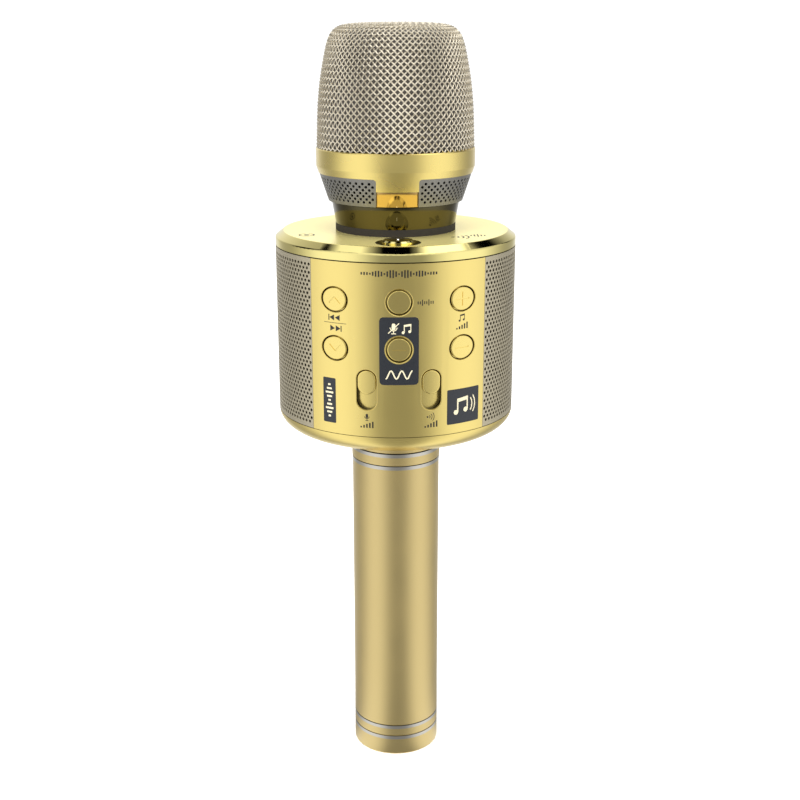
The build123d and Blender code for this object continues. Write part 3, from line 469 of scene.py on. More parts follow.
def make_finishes(settings):
    """Every finish of the object, by the record's slot, and the finishes of prints and labels."""
    satin, mirror = tuple(settings.satin_gold), tuple(settings.mirror_gold)
    handle, champagne = tuple(settings.handle_gold), tuple(settings.champagne)
    black = {"Specular IOR Level": 0.4}
    lacquer = {"Coat Weight": 0.6, "Coat Roughness": 0.3}
    golden = {"metallic": 1.0, "grain": 5000.0, "strength": 0.25, "sockets": lacquer}
    polished = {"roughness": 0.06, "face_roughness": 0.28, "face_metallic": 0.74}
    made = [
        grained("gold_satin", satin, 0.30, **golden),
        grained("panel_gold", satin, 0.30, **golden),
        grained("button_gold", satin, 0.24, **{**golden, "strength": 0.2}),
        satin_topped("gold_mirror", mirror, **polished),
        satin_topped("window_gold", (0.62, 0.42, 0.16), **polished),
        grained(
            "gold_anodised", handle, 0.46, 1.0,
            grain=4500.0, strength=0.5, colour_change=0.05, sockets=lacquer,
        ),
        lathe_turned("silver_trim", (0.62, 0.60, 0.54), 0.3),
        grained("band_gold", satin, 0.28, **golden),
        grained("smoked_gloss", (0.10, 0.085, 0.04), 0.08, 1.0, grain=300.0, strength=0.02),
        grained("black_plastic", (0.012, 0.012, 0.012), 0.5, 0.0, grain=1500.0, sockets=black),
        grained("black_rubber", (0.020, 0.017, 0.014), 0.75, 0.0, grain=1200.0, depth=0.05 * MM),
        grained("mesh_wire", champagne, 0.28, 0.85, grain=2500.0, colour_change=0.08),
        grained("basket_steel", (0.24, 0.235, 0.22), 0.40, 0.85, grain=2500.0, colour_change=0.08),
        grained("grille_sheet", (0.54, 0.485, 0.35), 0.40, 0.9, grain=2500.0, colour_change=0.06),
        open_cell_foam("liner_foam", (0.075, 0.066, 0.054)),
        speaker_cloth("grille_cloth", (0.004, 0.004, 0.003)),
        grained("speaker_steel", (0.014, 0.014, 0.014), 0.45, 0.3, grain=1500.0),
        grained("cone_paper", (0.035, 0.034, 0.032), 0.85, 0.0, grain=900.0, depth=0.1 * MM),
        grained("circuit_board", (0.010, 0.085, 0.035), 0.35, 0.0, grain=800.0, patch=400.0),
        grained("component_black", (0.018, 0.018, 0.020), 0.55, 0.0, grain=1800.0),
        grained("bare_steel", (0.56, 0.56, 0.56), 0.3, 1.0, grain=2500.0),
        lathe_turned("contact_metal", (0.68, 0.66, 0.62), 0.2),
        grained("lead_cover", (0.020, 0.020, 0.022), 0.5, 0.0, grain=1200.0),
        grained("cell_wrap", (0.02, 0.10, 0.22), 0.35, 0.0, grain=1200.0),
        grained("print_ink", tuple(settings.print_ink), 0.45, 0.0, grain=2500.0),
        grained("label_slate", tuple(settings.label_slate), 0.40, 0.0, grain=2500.0),
        grained("pale_print", (0.55, 0.50, 0.34), 0.45, 0.2, grain=2500.0),
        grained("white_print", (0.80, 0.78, 0.72), 0.45, 0.0, grain=2500.0),
    ]
    finishes = {material.name: material for material in made}
    around, across = (1.0, 1.0, 0.0), (1.0, 0.0, 0.0)
    painted_hole_shade, painted_window_shade = (0.04, 0.033, 0.014), (0.03, 0.027, 0.02)
    # Painted shade: the panel's hole and slot walls, deeper than HOLE_SHADE_DEPTH under the drum's
    # surface, are darkened to olive.
    shade_where(finishes["panel_gold"], around, "GREATER_THAN", DRUM_R - HOLE_SHADE_DEPTH, painted_hole_shade)
    # Painted shade: head_base is darkened to brown outside the window beside the tab, where it shows
    # through the basket's holes.
    shade_where(finishes["window_gold"], across, "LESS_THAN", TAB_HALF, painted_window_shade)
    return finishes


# ---- the head
HEAD_OUTLINE = (
    (25.9, 216.2),
    (25.05, 233.2),
    (23.1, 245.4),
    (21.2, 251.6),
    (18.4, 254.2),
    (12.4, 255.25),
    (0.0, 255.5),
)


def head_outline(samples):
    """Cubic Hermite curve through the outline's corners, as (points, outward normals) in (radius, z).

    A corner's tangent is the chord between its neighbours over their distance. The first tangent leans
    in a little and the last one is level.
    """
    corners = np.array(HEAD_OUTLINE) * MM
    chord = np.linalg.norm(np.diff(corners, axis=0), axis=1)
    place = np.concatenate(([0.0], np.cumsum(chord)))
    tangent = np.empty_like(corners)
    tangent[1:-1] = (corners[2:] - corners[:-2]) / (place[2:] - place[:-2])[:, None]
    tangent[0], tangent[-1] = (-0.04, 1.0), (-1.0, 0.0)
    t = np.linspace(0.0, place[-1], samples)
    k = np.clip(np.searchsorted(place, t, side="right") - 1, 0, len(chord) - 1)
    h = chord[k][:, None]
    u = ((t - place[k]) / chord[k])[:, None]
    points = (
        (2 * u**3 - 3 * u**2 + 1) * corners[k] + (u**3 - 2 * u**2 + u) * h * tangent[k]
        + (3 * u**2 - 2 * u**3) * corners[k + 1]
        + (u**3 - u**2) * h * tangent[k + 1]
    )
    along = np.gradient(points, axis=0)
    along /= np.linalg.norm(along, axis=1, keepdims=True)
    return points, np.stack([along[:, 1], -along[:, 0]], axis=1)


def side_wires(settings):
    """Wires that lean both ways round the head's side, woven over and under.

    A wire's angle grows by its run along the outline over its radius, so that the diamonds keep their
    shape. Its distance from the outline is one wire radius times the cosine of (wires around) x angle:
    up for one lean and down for the other, so that they pass over and under in turn.
    """
    points, normals = head_outline(2400)
    radius = settings.wire / 2
    centre = points - normals * 2 * radius
    run = np.concatenate(([0.0], np.cumsum(np.linalg.norm(np.diff(centre, axis=0), axis=1))))
    keep = centre[:, 0] > settings.crown_radius - 0.6 * MM
    centre, normals, run = centre[keep], normals[keep], run[keep]
    angle = np.concatenate(([0.0], np.cumsum(np.diff(run) / (0.5 * (centre[1:, 0] + centre[:-1, 0])))))
    crossings = int(angle[-1] * settings.around / np.pi)
    stops = np.arange(2 * crossings + 1) * np.pi / (2 * settings.around)
    r, z = (np.interp(stops, angle, centre[:, i]) for i in (0, 1))
    nr, nz = (np.interp(stops, angle, normals[:, i]) for i in (0, 1))
    shells = []
    for lean in (1, -1):
        lift = lean * radius * np.cos(settings.around * stops)
        turn = lean * stops
        path = round_axis(r + lift * nr, turn, z + lift * nz)
        normal = round_axis(nr, turn, nz)
        around = np.arange(settings.around) * 2 * np.pi / settings.around
        shells.append(
            tubes(turned_about_axis(path, around), turned_about_axis(normal, around), radius, 5)
        )
    return joined(shells)


def crown_wires(settings):
    """Straight wires across the top, woven over and under.

    Each wire's place in plan is a line of a square grid turned by 45 degrees. Its height is the
    outline's at its distance from the axis, less one wire, plus one wire radius times the cosine of
    pi x its run over the pitch, with the sign changed from one line to the next.
    """
    outline, _ = head_outline(1200)
    radius, pitch = settings.wire / 2, settings.crown_pitch
    reach = settings.crown_radius
    count = int(reach / pitch)
    shells = []
    for lean in (0, 1):
        for line in range(-count, count + 1):
            across = line * pitch
            half = int(math.sqrt(reach**2 - across**2) / pitch * 2)
            if half < 2:
                continue
            run = np.arange(-half, half + 1) * pitch / 2
            sign = 1 if (line + lean) % 2 else -1
            lift = sign * radius * np.cos(np.pi * run / pitch)
            x, y = (run, np.full_like(run, across)) if lean else (np.full_like(run, across), run)
            distance = np.hypot(x, y)
            z = np.interp(distance, outline[::-1, 0], outline[::-1, 1]) - 2 * radius + lift
            path = np.stack([(x - y), (x + y), z], axis=1)
            path[:, :2] *= math.sqrt(0.5)
            normal = np.zeros_like(path)
            normal[:, 2] = 1.0
            shells.append(tubes(path[None], normal[None], radius, 5))
    return joined(shells)


def ripple(points, seed, pitch):
    """Soft unevenness from 0 to 1: the mean of sine waves in fixed random directions."""
    draw = np.random.default_rng(seed)
    total = 0.0
    waves = 14
    for _ in range(waves):
        direction = draw.normal(size=3)
        direction *= 2 * np.pi / (pitch * draw.uniform(0.7, 1.8) * np.linalg.norm(direction))
        total = total + np.sin(points @ direction + draw.uniform(0, 2 * np.pi))
    return 0.5 + 0.5 * np.clip(total / math.sqrt(waves), -1, 1)


LINER_WALL = 3.0 * MM
LINER_SINK, LINER_PATCH, LINER_SEED = 0.45 * MM, 3.2 * MM, 11


def liner_shell():
    """The foam dome inside the wires: the outline drawn in, turned about Z, its outside unevenly sunk.

    Rows run from the inner pole down to the rim and up the outside to the outer pole.
    """
    points, normals = head_outline(400)
    outer_inset = HEAD_HIGH.x - FOAM_HIGH.x
    rows, columns = 110, 280
    picks = np.linspace(0, len(points) - 1, rows).astype(int)
    outside = points[picks] - normals[picks] * outer_inset
    inside = points[picks] - normals[picks] * (outer_inset + LINER_WALL)
    for profile in (outside, inside):
        profile[:, 0] = np.clip(profile[:, 0], 0.0, FOAM_HIGH.x)
        profile[:, 1] = np.clip(profile[:, 1], FOAM_LOW.z, FOAM_HIGH.z)
        profile[-1, 0] = 0.0
    profile = np.concatenate([inside[::-1], outside])
    turn = np.arange(columns) * 2 * np.pi / columns
    grid = round_axis(profile[:, :1], turn, profile[:, 1:])
    outward = np.concatenate([np.zeros((rows, 2)), normals[picks]])
    uneven = ripple(grid.reshape(-1, 3), LINER_SEED, LINER_PATCH).reshape(len(profile), columns)
    sink = LINER_SINK * uneven
    sink *= np.clip((grid[..., 2] - FOAM_LOW.z) / (2 * MM), 0, 1)
    grid[..., 0] -= sink * outward[:, :1] * np.cos(turn)
    grid[..., 1] -= sink * outward[:, :1] * np.sin(turn)
    grid[..., 2] -= sink * outward[:, 1:]
    return grid.reshape(-1, 3), [grid_faces(len(profile), columns)]


class MIC_OT_head(bpy.types.Operator):
    """Weaves the head's wires and lines them with foam"""

    bl_idname = "microphone.head"
    bl_label = "Woven head"

    def execute(self, context):
        settings = context.scene.mic_weave
        for name, wires in (("head_weave", side_wires), ("head_crown_weave", crown_wires)):
            make_piece(name, wires(settings), "head", "mesh_wire", crease=60, replaces=["head_mesh"])
        liner = make_piece(
            "head_liner", liner_shell(), "head_carrier", "liner_foam", crease=60, replaces=["head_foam"]
        )
        return {"FINISHED"}


# ---- punched sheets
RING = np.array([(1, 0), (1, 1), (0, 1), (-1, 1), (-1, 0), (-1, -1), (0, -1), (1, -1)])
BASKET_DRAW_IN, BASKET_WALL, CLOTH_THICK = 2.95 * MM, 0.8 * MM, 0.3 * MM


def punched_sheet(surface, columns, rows, hole_u, hole_v):
    """A closed sheet with staggered eight-sided holes, as (points, faces).

    The sheet is columns cells wide and rows cells tall, and odd rows are moved by half a cell, with a
    plain half cell at each end. surface(u, v, depth) gives the point u cells along and v cells up, at
    depth 0 on the front and 1 on the back. A hole is an ellipse of half widths hole_u and hole_v cells
    about its cell's middle, so it is round when they stand for the same length. The first and the last
    row have no holes.
    """
    across, up = 2 * columns + 1, 2 * rows + 1
    index = np.arange(across * up).reshape(up, across)
    a, b = np.meshgrid(np.arange(across), np.arange(up))
    lattice = np.stack([a.ravel() / 2, b.ravel() / 2], axis=1)
    punched, plain, half = [], [], []
    for row in range(rows):
        odd = row % 2
        middles = np.arange(1 + odd, across - 1, 2)
        cells = index[2 * row + 1 + RING[:, 1], middles[:, None] + RING[:, 0]]
        (plain if row in (0, rows - 1) else punched).append(cells)
        if odd:
            low, mid, high = index[2 * row], index[2 * row + 1], index[2 * row + 2]
            for left, right in ((0, 1), (across - 2, across - 1)):
                half.append([low[left], low[right], mid[right], high[right], high[left], mid[left]])
    rings = np.concatenate(punched)
    centres = (lattice[rings[:, 0]] + lattice[rings[:, 4]]) / 2
    angle = np.arange(8) * np.pi / 4
    rim = centres[:, None] + np.stack([hole_u * np.cos(angle), hole_v * np.sin(angle)], axis=1)
    flat = np.concatenate([lattice, rim.reshape(-1, 2)])
    total = len(flat)
    holes = len(lattice) + np.arange(len(rings) * 8).reshape(-1, 8)
    after = np.roll(np.arange(8), -1)
    around_hole = np.stack([rings, rings[:, after], holes[:, after], holes], axis=-1).reshape(-1, 4)
    bore = np.stack([holes, holes[:, after], holes[:, after] + total, holes + total], axis=-1)
    front = [around_hole, np.concatenate(plain), np.array(half)]
    back = [array[:, ::-1] + total for array in front]
    faces = front + back + [bore.reshape(-1, 4), border_walls(index, total)]
    points = np.concatenate(
        [surface(flat[:, 0], flat[:, 1], 0.0), surface(flat[:, 0], flat[:, 1], 1.0)]
    )
    used, packed = np.unique(np.concatenate([f.ravel() for f in faces]), return_inverse=True)
    cuts = np.cumsum([f.size for f in faces])[:-1]
    faces = [part.reshape(f.shape) for part, f in zip(np.split(packed, cuts), faces)]
    return points[used], faces


def grille_sheet(side, settings):
    """A loudspeaker grille: a sector of a cylinder, punched. side is 1 on +X and -1 on -X."""
    arc = GRILLE_R * (GRILLE_END - GRILLE_START)
    height = GRILLE_HIGH.z - GRILLE_LOW.z
    columns = round(arc / settings.grille_pitch)
    rows = round(height / settings.grille_row)

    def surface(u, v, depth):
        angle = GRILLE_START + (GRILLE_END - GRILLE_START) * u / columns
        r = GRILLE_R - depth * GRILLE_WALL
        z = GRILLE_LOW.z + height * v / rows
        return round_axis(r, angle, z) * (side, 1, 1)

    radius = settings.grille_hole / 2
    return punched_sheet(surface, columns, rows, radius * columns / arc, radius * rows / height)


def basket_sheet(side, settings):
    """Half of the lower basket: a cone's sector between the two tabs, punched."""
    high_r = BASKET_HIGH.x
    low_r = high_r - BASKET_DRAW_IN
    height = BASKET_HIGH.z - BASKET_LOW.z
    slant = math.hypot(height, high_r - low_r)
    arc = (math.pi - 2 * math.asin(TAB_HALF / high_r)) * (low_r + high_r) / 2
    columns = round(arc / settings.basket_pitch)
    rows = round(2 * slant / settings.basket_pitch)

    def surface(u, v, depth):
        share = v / rows
        outer = low_r + (high_r - low_r) * share
        edge = np.arcsin(TAB_HALF / outer)
        angle = edge + (np.pi - 2 * edge) * u / columns - np.pi / 2
        r = outer - depth * BASKET_WALL
        z = BASKET_LOW.z + height * share
        return round_axis(r, angle, z) * (side, 1, 1)

    radius = settings.basket_hole / 2
    return punched_sheet(surface, columns, rows, radius * columns / arc, radius * rows / slant)


def curved_cloth(side):
    """A cloth behind a grille: a thin sector of a cylinder, as a closed shell."""
    turn = np.linspace(GRILLE_START + CLOTH_INSET, GRILLE_END - CLOTH_INSET, 120)
    z = np.linspace(CLOTH_LOW.z, CLOTH_HIGH.z, 70)
    total = len(z) * len(turn)
    index = np.arange(total).reshape(len(z), len(turn))
    front = grid_faces(*index.shape, wrap=False)
    points = [
        (round_axis(r, turn, z[:, None]) * (side, 1, 1)).reshape(-1, 3)
        for r in (CLOTH_HIGH.x, CLOTH_HIGH.x - CLOTH_THICK)
    ]
    faces = [front, front[:, ::-1] + total, border_walls(index, total)]
    return np.concatenate(points), faces


class MIC_OT_sheets(bpy.types.Operator):
    """Punches the loudspeaker grilles and the lower basket, and hangs the cloths"""

    bl_idname = "microphone.sheets"
    bl_label = "Punched sheets"

    def execute(self, context):
        settings = context.scene.mic_sheets
        root = "drum_and_handle"
        for name, side in (("left", -1), ("right", 1)):
            sheet = f"{name}_grille_sheet"
            shell = grille_sheet(side, settings)
            make_piece(sheet, shell, root, "grille_sheet", replaces=[f"{name}_grille"])
            cloth_name, shell = f"{name}_grille_cloth", curved_cloth(side)
            cloth = make_piece(cloth_name, shell, root, "grille_cloth", replaces=["grille_cloths"])
            shell = basket_sheet(side, settings)
            make_piece(f"{name}_basket_sheet", shell, "head", "basket_steel", replaces=["lower_basket"])
        return {"FINISHED"}


# ---- prints
INK_TOP, INK_SINK = 0.018 * MM, 0.06 * MM
PRINT_STEP = 0.7


def resampled(corners, step):
    """Points along a closed line through corners, no further apart than step."""
    corners = np.asarray(corners, float)
    parts = []
    for start, end in zip(corners, np.roll(corners, -1, axis=0)):
        count = max(1, int(np.linalg.norm(end - start) / step) + 1)
        parts.append(start + (end - start) * (np.arange(count) / count)[:, None])
    return np.concatenate(parts)


def badge(corners, centre=None, lift=INK_TOP):
    """A filled print inside a closed line that is star-shaped about its centre, in millimetres.

    Rings shrink towards the centre in equal steps on top, and the side goes down under the surface.
    """
    outline = resampled(corners, PRINT_STEP) * MM
    middle = outline.mean(0) if centre is None else np.array(centre) * MM
    shares = np.array([0.0, 0.2, 0.4, 0.6, 0.8, 1.0, 1.0, 0.0])
    heights = np.array([lift] * 6 + [-INK_SINK] * 2)
    flat = middle + shares[:, None, None] * (outline - middle)
    high = np.broadcast_to(heights[:, None, None], flat.shape[:2] + (1,))
    points = np.concatenate([flat, high], axis=-1)
    return points.reshape(-1, 3), [grid_faces(len(shares), len(outline))]


def stroke(path, width, lift=INK_TOP):
    """A printed line of a width along a path, in millimetres, as a strip with closed ends."""
    path = np.asarray(path, float)
    pieces = [path[:1]]
    for start, end in zip(path[:-1], path[1:]):
        count = max(1, int(np.linalg.norm(end - start) / PRINT_STEP))
        pieces.append(start + (end - start) * (np.arange(1, count + 1) / count)[:, None])
    path = np.concatenate(pieces) * MM
    along = np.gradient(path, axis=0)
    along /= np.linalg.norm(along, axis=1, keepdims=True)
    across = np.stack([-along[:, 1], along[:, 0]], axis=1) * width * MM / 2
    top, low = np.full((len(path), 1), lift), np.full((len(path), 1), -INK_SINK)
    ring = [
        np.hstack([path + across, top]),
        np.hstack([path - across, top]),
        np.hstack([path - across, low]),
        np.hstack([path + across, low]),
    ]
    points = np.stack(ring, axis=1).reshape(-1, 3)
    last = 4 * (len(path) - 1)
    ends = np.array([[3, 2, 1, 0], [last, last + 1, last + 2, last + 3]])
    return points, [grid_faces(len(path), 4), ends]


def arc_path(s, z, radius, start, end):
    """Points of an arc about (s, z), angles in degrees from +s."""
    angle = np.radians(np.linspace(start, end, max(5, int(abs(end - start) / 12))))
    return (s, z) + radius * np.stack([np.cos(angle), np.sin(angle)], axis=1)


def rounded_box(s, z, width, height, radius):
    """Corners of a rectangle about (s, z) with rounded corners."""
    inner_s, inner_z = width / 2 - radius, height / 2 - radius
    parts = [
        arc_path(s + sign_s * inner_s, z + sign_z * inner_z, radius, start, start + 90)
        for sign_s, sign_z, start in ((1, 1, 0), (-1, 1, 90), (-1, -1, 180), (1, -1, 270))
    ]
    return np.concatenate(parts)


def disc(s, z, radius):
    """A printed disc."""
    return badge(arc_path(s, z, radius, 0, 345))


def wave_bars(s, z, heights, pitch, width, below=0.5):
    """Upright bars in a row. below is the share of each bar that is under the line at z."""
    start = s - pitch * (len(heights) - 1) / 2
    return [
        stroke([(start + i * pitch, z - below * h), (start + i * pitch, z + (1 - below) * h)], width)
        for i, h in enumerate(heights)
    ]


def level_bars(s, z):
    """Five bars that grow to the right, standing on the line at z."""
    return wave_bars(s, z, (0.5, 0.9, 1.3, 1.7, 2.1), 0.95, 0.5, below=0.0)


def skip_mark(s, z, size, way):
    """Two triangles and a bar. way is 1 to the right and -1 to the left."""
    half = size / 2
    marks = []
    for shift in (-0.9, 0.15):
        tip = s + way * (shift + 0.9) * size
        back = s + way * shift * size
        marks.append(badge([(back, z - half), (tip, z), (back, z + half)]))
    bar = s + way * 1.15 * size
    marks.append(stroke([(bar, z - half), (bar, z + half)], 0.18 * size))
    return marks


def note_mark(s, z, size):
    """Two joined quavers standing on their heads."""
    left, right, top = s - 0.3 * size, s + 0.38 * size, z + 0.5 * size
    head = 0.15 * size
    return [
        disc(left - head * 0.8, z - 0.42 * size, head),
        disc(right - head * 0.8, z - 0.32 * size, head),
        stroke([(left, z - 0.42 * size), (left, top - 0.1 * size)], 0.09 * size),
        stroke([(right, z - 0.32 * size), (right, top)], 0.09 * size),
        badge(
            [
                (left - 0.045 * size, top - 0.32 * size),
                (right + 0.045 * size, top - 0.22 * size),
                (right + 0.045 * size, top),
                (left - 0.045 * size, top - 0.1 * size),
            ]
        ),
    ]


def microphone_mark(s, z, size):
    """A microphone on its stand."""
    return [
        badge(rounded_box(s, z + 0.18 * size, 0.34 * size, 0.62 * size, 0.16 * size)),
        stroke(arc_path(s, z + 0.12 * size, 0.32 * size, 180, 360), 0.08 * size),
        stroke([(s, z - 0.2 * size), (s, z - 0.45 * size)], 0.08 * size),
        stroke([(s - 0.22 * size, z - 0.47 * size), (s + 0.22 * size, z - 0.47 * size)], 0.08 * size),
    ]


def echo_mark(s, z, size):
    """A dot and three arcs that spread from it."""
    arcs = [
        stroke(arc_path(s - 0.5 * size, z, radius * size, -38, 38), 0.09 * size)
        for radius in (0.35, 0.65, 0.95)
    ]
    return [disc(s - 0.5 * size, z, 0.12 * size)] + arcs


def sine_path(s, z, width, height, turns):
    """Points of a sine wave about (s, z)."""
    t = np.linspace(-0.5, 0.5, 40)
    return np.stack([s + t * width, z + height / 2 * np.sin(2 * np.pi * turns * t)], axis=1)


def on_drum(points):
    """(along the curve from the front, height, lift) to a point on the drum."""
    angle = points[:, 0] / DRUM_R
    r = DRUM_R + points[:, 2]
    return np.stack([r * np.sin(angle), -r * np.cos(angle), points[:, 1]], axis=1)


def on_drum_back(points):
    """The same at the back of the drum, with left and right as seen from behind."""
    front = on_drum(points)
    return front * np.array([-1.0, -1.0, 1.0])


def on_top(points):
    """(x, y, lift) to a point on the top cover's flat face."""
    return points + np.array([0.0, 0.0, TOP_FACE_Z])


def on_power(points):
    """(x, y, lift) to a point on the power button's face, about its middle."""
    middle_y = (POWER_LOW.y + POWER_HIGH.y) / 2
    return points + np.array([0.0, middle_y, POWER_HIGH.z])


def along_drum(x):
    """Length along the drum's curve, in millimetres, of a point x millimetres to the side."""
    return math.asin(x * MM / DRUM_R) * DRUM_R / MM


SIDE, SLOT = along_drum(19.9), along_drum(10.15)


def panel_marks():
    """The dark marks printed straight on the panel."""
    wave = [0.5 + 2.1 * abs(math.sin(0.62 * i) * math.cos(0.11 * i)) for i in range(-13, 14)]
    marks = wave_bars(0.0, 181.5, wave, 0.9, 0.48)
    marks += wave_bars(8.3, 172.4, (0.9, 0.9, 1.9, 0.9, 0.9, 1.9, 0.9, 0.9), 0.68, 0.32)
    marks += skip_mark(-SIDE, 166.9, 1.9, -1)
    marks += [stroke([(-SIDE - 4.0, 165.2), (-SIDE + 4.0, 165.2)], 0.16)]
    marks += skip_mark(-SIDE, 163.5, 1.9, 1)
    marks += note_mark(SIDE, 166.7, 2.3)
    marks += level_bars(SIDE, 163.0)
    marks += microphone_mark(-SLOT, 135.5, 2.3)
    marks += level_bars(-SLOT, 132.0)
    marks += echo_mark(SLOT, 135.5, 2.3)
    marks += level_bars(SLOT, 132.0)
    return marks


def label_with_hole(box, hole, segments=96):
    """A label between an outline and a round hole: rings from the hole's rim out, closed below.

    box is (s, z, width, height, corner radius) and hole is (s, z, radius), in millimetres. The outline
    is met along rays from the hole's middle.
    """
    s, z, width, height, corner = box
    hole_s, hole_z, hole_r = hole
    outline = resampled(rounded_box(s, z, width, height, corner), 0.2)
    angle = np.arctan2(outline[:, 1] - hole_z, outline[:, 0] - hole_s)
    order = np.argsort(angle)
    rays = np.linspace(-np.pi, np.pi, segments, endpoint=False)
    reach = np.hypot(outline[:, 0] - hole_s, outline[:, 1] - hole_z)
    far = np.interp(rays, angle[order], reach[order], period=2 * np.pi)
    shares = np.array([0.0, 0.2, 0.4, 0.6, 0.8, 1.0, 1.0, 0.0, 0.0])
    heights = np.array([INK_TOP] * 6 + [-INK_SINK] * 2 + [INK_TOP])
    reach = hole_r + shares[:, None] * (far - hole_r)
    points = np.stack(
        [
            (hole_s + reach * np.cos(rays)) * MM,
            (hole_z + reach * np.sin(rays)) * MM,
            np.broadcast_to(heights[:, None], reach.shape),
        ],
        axis=-1,
    )
    return points.reshape(-1, 3), [grid_faces(len(shares), segments)]


def raised(shells, lift):
    """The same shells with their height moved up."""
    return [(points + np.array([0.0, 0.0, lift]), faces) for points, faces in shells]


def label_marks():
    """The pale marks on the three dark labels."""
    marks = microphone_mark(-1.7, 164.4, 3.4)
    marks += [stroke([(-3.4, 162.9), (0.0, 166.1)], 0.3)]
    marks += note_mark(2.5, 164.4, 3.0)
    marks += [stroke(sine_path(0.0, 149.6, 8.4, 2.6, 2.5), 0.42)]
    for i, width in enumerate((0.9, 1.9, 2.9, 1.9, 0.9, 1.9, 2.9, 1.9, 0.9)):
        z = 134.6 + 1.3 * i
        marks.append(stroke([(-23.25 - width / 2, z), (-23.25 + width / 2, z)], 0.6))
    marks += note_mark(21.2, 138.2, 5.4)
    marks += [stroke(arc_path(21.6, 138.0, r, -35, 35), 0.4) for r in (3.6, 4.8)]
    return marks


def rear_marks():
    """The dark marks beside the ports at the back, left and right as seen from behind."""
    marks = note_mark(10.3, 149.8, 2.4)
    marks += [
        badge([(1.9, 150.9), (0.8, 149.5), (1.5, 149.5), (1.1, 148.3), (2.3, 149.9), (1.6, 149.9)],
              centre=(1.55, 149.7)),
        stroke([(-11.0, 148.6), (-7.4, 148.6), (-7.4, 150.9), (-10.2, 150.9), (-11.0, 150.1),
                (-11.0, 148.6)], 0.25),
    ]
    return marks


def top_marks():
    """The dark marks on the top cover's face."""
    marks = echo_mark(20.5, -19.5, 5.4)
    marks += [stroke(arc_path(-29.0, -14.0, 2.4, 100, 440), 0.5), disc(-29.0, -14.0, 0.9)]
    marks += wave_bars(26.0, -16.6, (1.8, 3.6, 5.0, 2.8, 1.8), 1.1, 0.45)
    return marks


def placed(shells, surface):
    """The shells joined and laid on a surface."""
    points, faces = joined(shells)
    return surface(points), faces


class MIC_OT_prints(bpy.types.Operator):
    """Prints the marks and labels on the drum, its top and its back"""

    bl_idname = "microphone.prints"
    bl_label = "Prints and labels"

    def execute(self, context):
        labels = [
            label_with_hole((0.0, 157.15, 12.4, 21.7, 1.2), (0.0, 157.6, 4.62)),
            badge(rounded_box(-23.25, 139.8, 4.75, 14.8, 0.4)),
            badge(rounded_box(21.85, 137.85, 12.3, 11.5, 0.4)),
        ]
        pieces = (
            ("panel_prints", panel_marks(), on_drum, "component_black", "print_ink"),
            ("panel_labels", labels, on_drum, "component_black", "label_slate"),
            ("label_prints", raised(label_marks(), INK_TOP), on_drum, "grille_sheet", "pale_print"),
            ("rear_prints", rear_marks(), on_drum_back, "component_black", "print_ink"),
            ("top_prints", top_marks(), on_top, "component_black", "print_ink"),
        )
        for name, shells, surface, slot, finish in pieces:
            make_piece(name, placed(shells, surface), "drum_and_handle", slot, finish)
        tick = placed([stroke([(0.0, -1.1), (0.0, 1.1)], 0.5)], on_power)
        make_piece("power_print", tick, "power_button", "silver_trim", "white_print")
        return {"FINISHED"}


# ---- threads
THREAD_HEIGHT = 0.22 * MM
NECK_THREAD_R, NECK_PITCH = 19.3 * MM, 2 * MM
CAP_THREAD_R, CAP_PITCH = 13.3 * MM, 1.5 * MM
THREAD_START, NECK_RUNOUT, CAP_RUNOUT = 1.2 * MM, 1.4 * MM, 1.0 * MM


def thread(radius, bottom, top, pitch, height):
    """A screw's ridge: a diamond-shaped bar along a helix, thinned to nothing at both ends."""
    turns = (top - bottom) / pitch
    count = int(turns * 72) + 1
    turn = np.linspace(0, 2 * np.pi * turns, count)
    z = bottom + turn / (2 * np.pi) * pitch
    path = round_axis(radius, turn, z)
    normal = round_axis(1.0, turn, 0.0)
    taper = np.clip(np.minimum(turn, turn[::-1]) / 1.2, 0.02, 1.0)
    points, faces = tubes(path[None], normal[None], height, 4)
    middle = np.repeat(path, 4, axis=0)
    return middle + (points - middle) * np.repeat(taper, 4)[:, None], faces


class MIC_OT_threads(bpy.types.Operator):
    """Cuts the screw threads that show when the head or the end cap is off"""

    bl_idname = "microphone.threads"
    bl_label = "Screw threads"

    def execute(self, context):
        low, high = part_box("neck_ring")[1].z + THREAD_START, SOCKET_HIGH.z - NECK_RUNOUT
        neck = thread(NECK_THREAD_R, low, high, NECK_PITCH, THREAD_HEIGHT)
        make_piece("neck_thread", neck, "drum_and_handle", "black_plastic")
        low, high = RING_HIGH.z + THREAD_START, CAP_HIGH.z - CAP_RUNOUT
        cap = thread(CAP_THREAD_R, low, high, CAP_PITCH, THREAD_HEIGHT)
        make_piece("cap_thread", cap, "cap", "gold_anodised")
        return {"FINISHED"}


# ---- finishes
OWN_FINISH = {"control_panel": "panel_gold", "head_base": "window_gold"}


class MIC_OT_finishes(bpy.types.Operator):
    """Makes every finish and puts it on the frame's own pieces"""

    bl_idname = "microphone.finishes"
    bl_label = "Finishes"

    def execute(self, context):
        for packed in bpy.data.materials:
            packed.name = f"packed_{packed.name}"
        grain_group()
        turning_group()
        weave_group()
        finishes = make_finishes(context.scene.mic_finish)
        for row in frame["record"]["subparts"]:
            chosen = OWN_FINISH.get(row["node"], row["material_slot"])
            for slot in frame["nodes"][row["node"]].material_slots:
                slot.material = finishes[chosen]
        return {"FINISHED"}


# ---- stage
FLOOR_GREY, FLOOR_REACH = 0.90, 4.0
TENT_SIDES, TENT_BOTTOM, TENT_TOP = 96, 0.0005, 0.42
UPPER_START, UPPER_FADE = 0.20, 0.05
ROOM_LIGHT, BRIGHTEST = 1.15, 2.5
CAMERA_ASIDE, WALL_TURN = math.radians(0.196), math.radians(3.5)
ROOF_WIDTH, ROOF_SPREAD_FROM, ROOF_SPREAD = 0.4, 0.08, 10.0


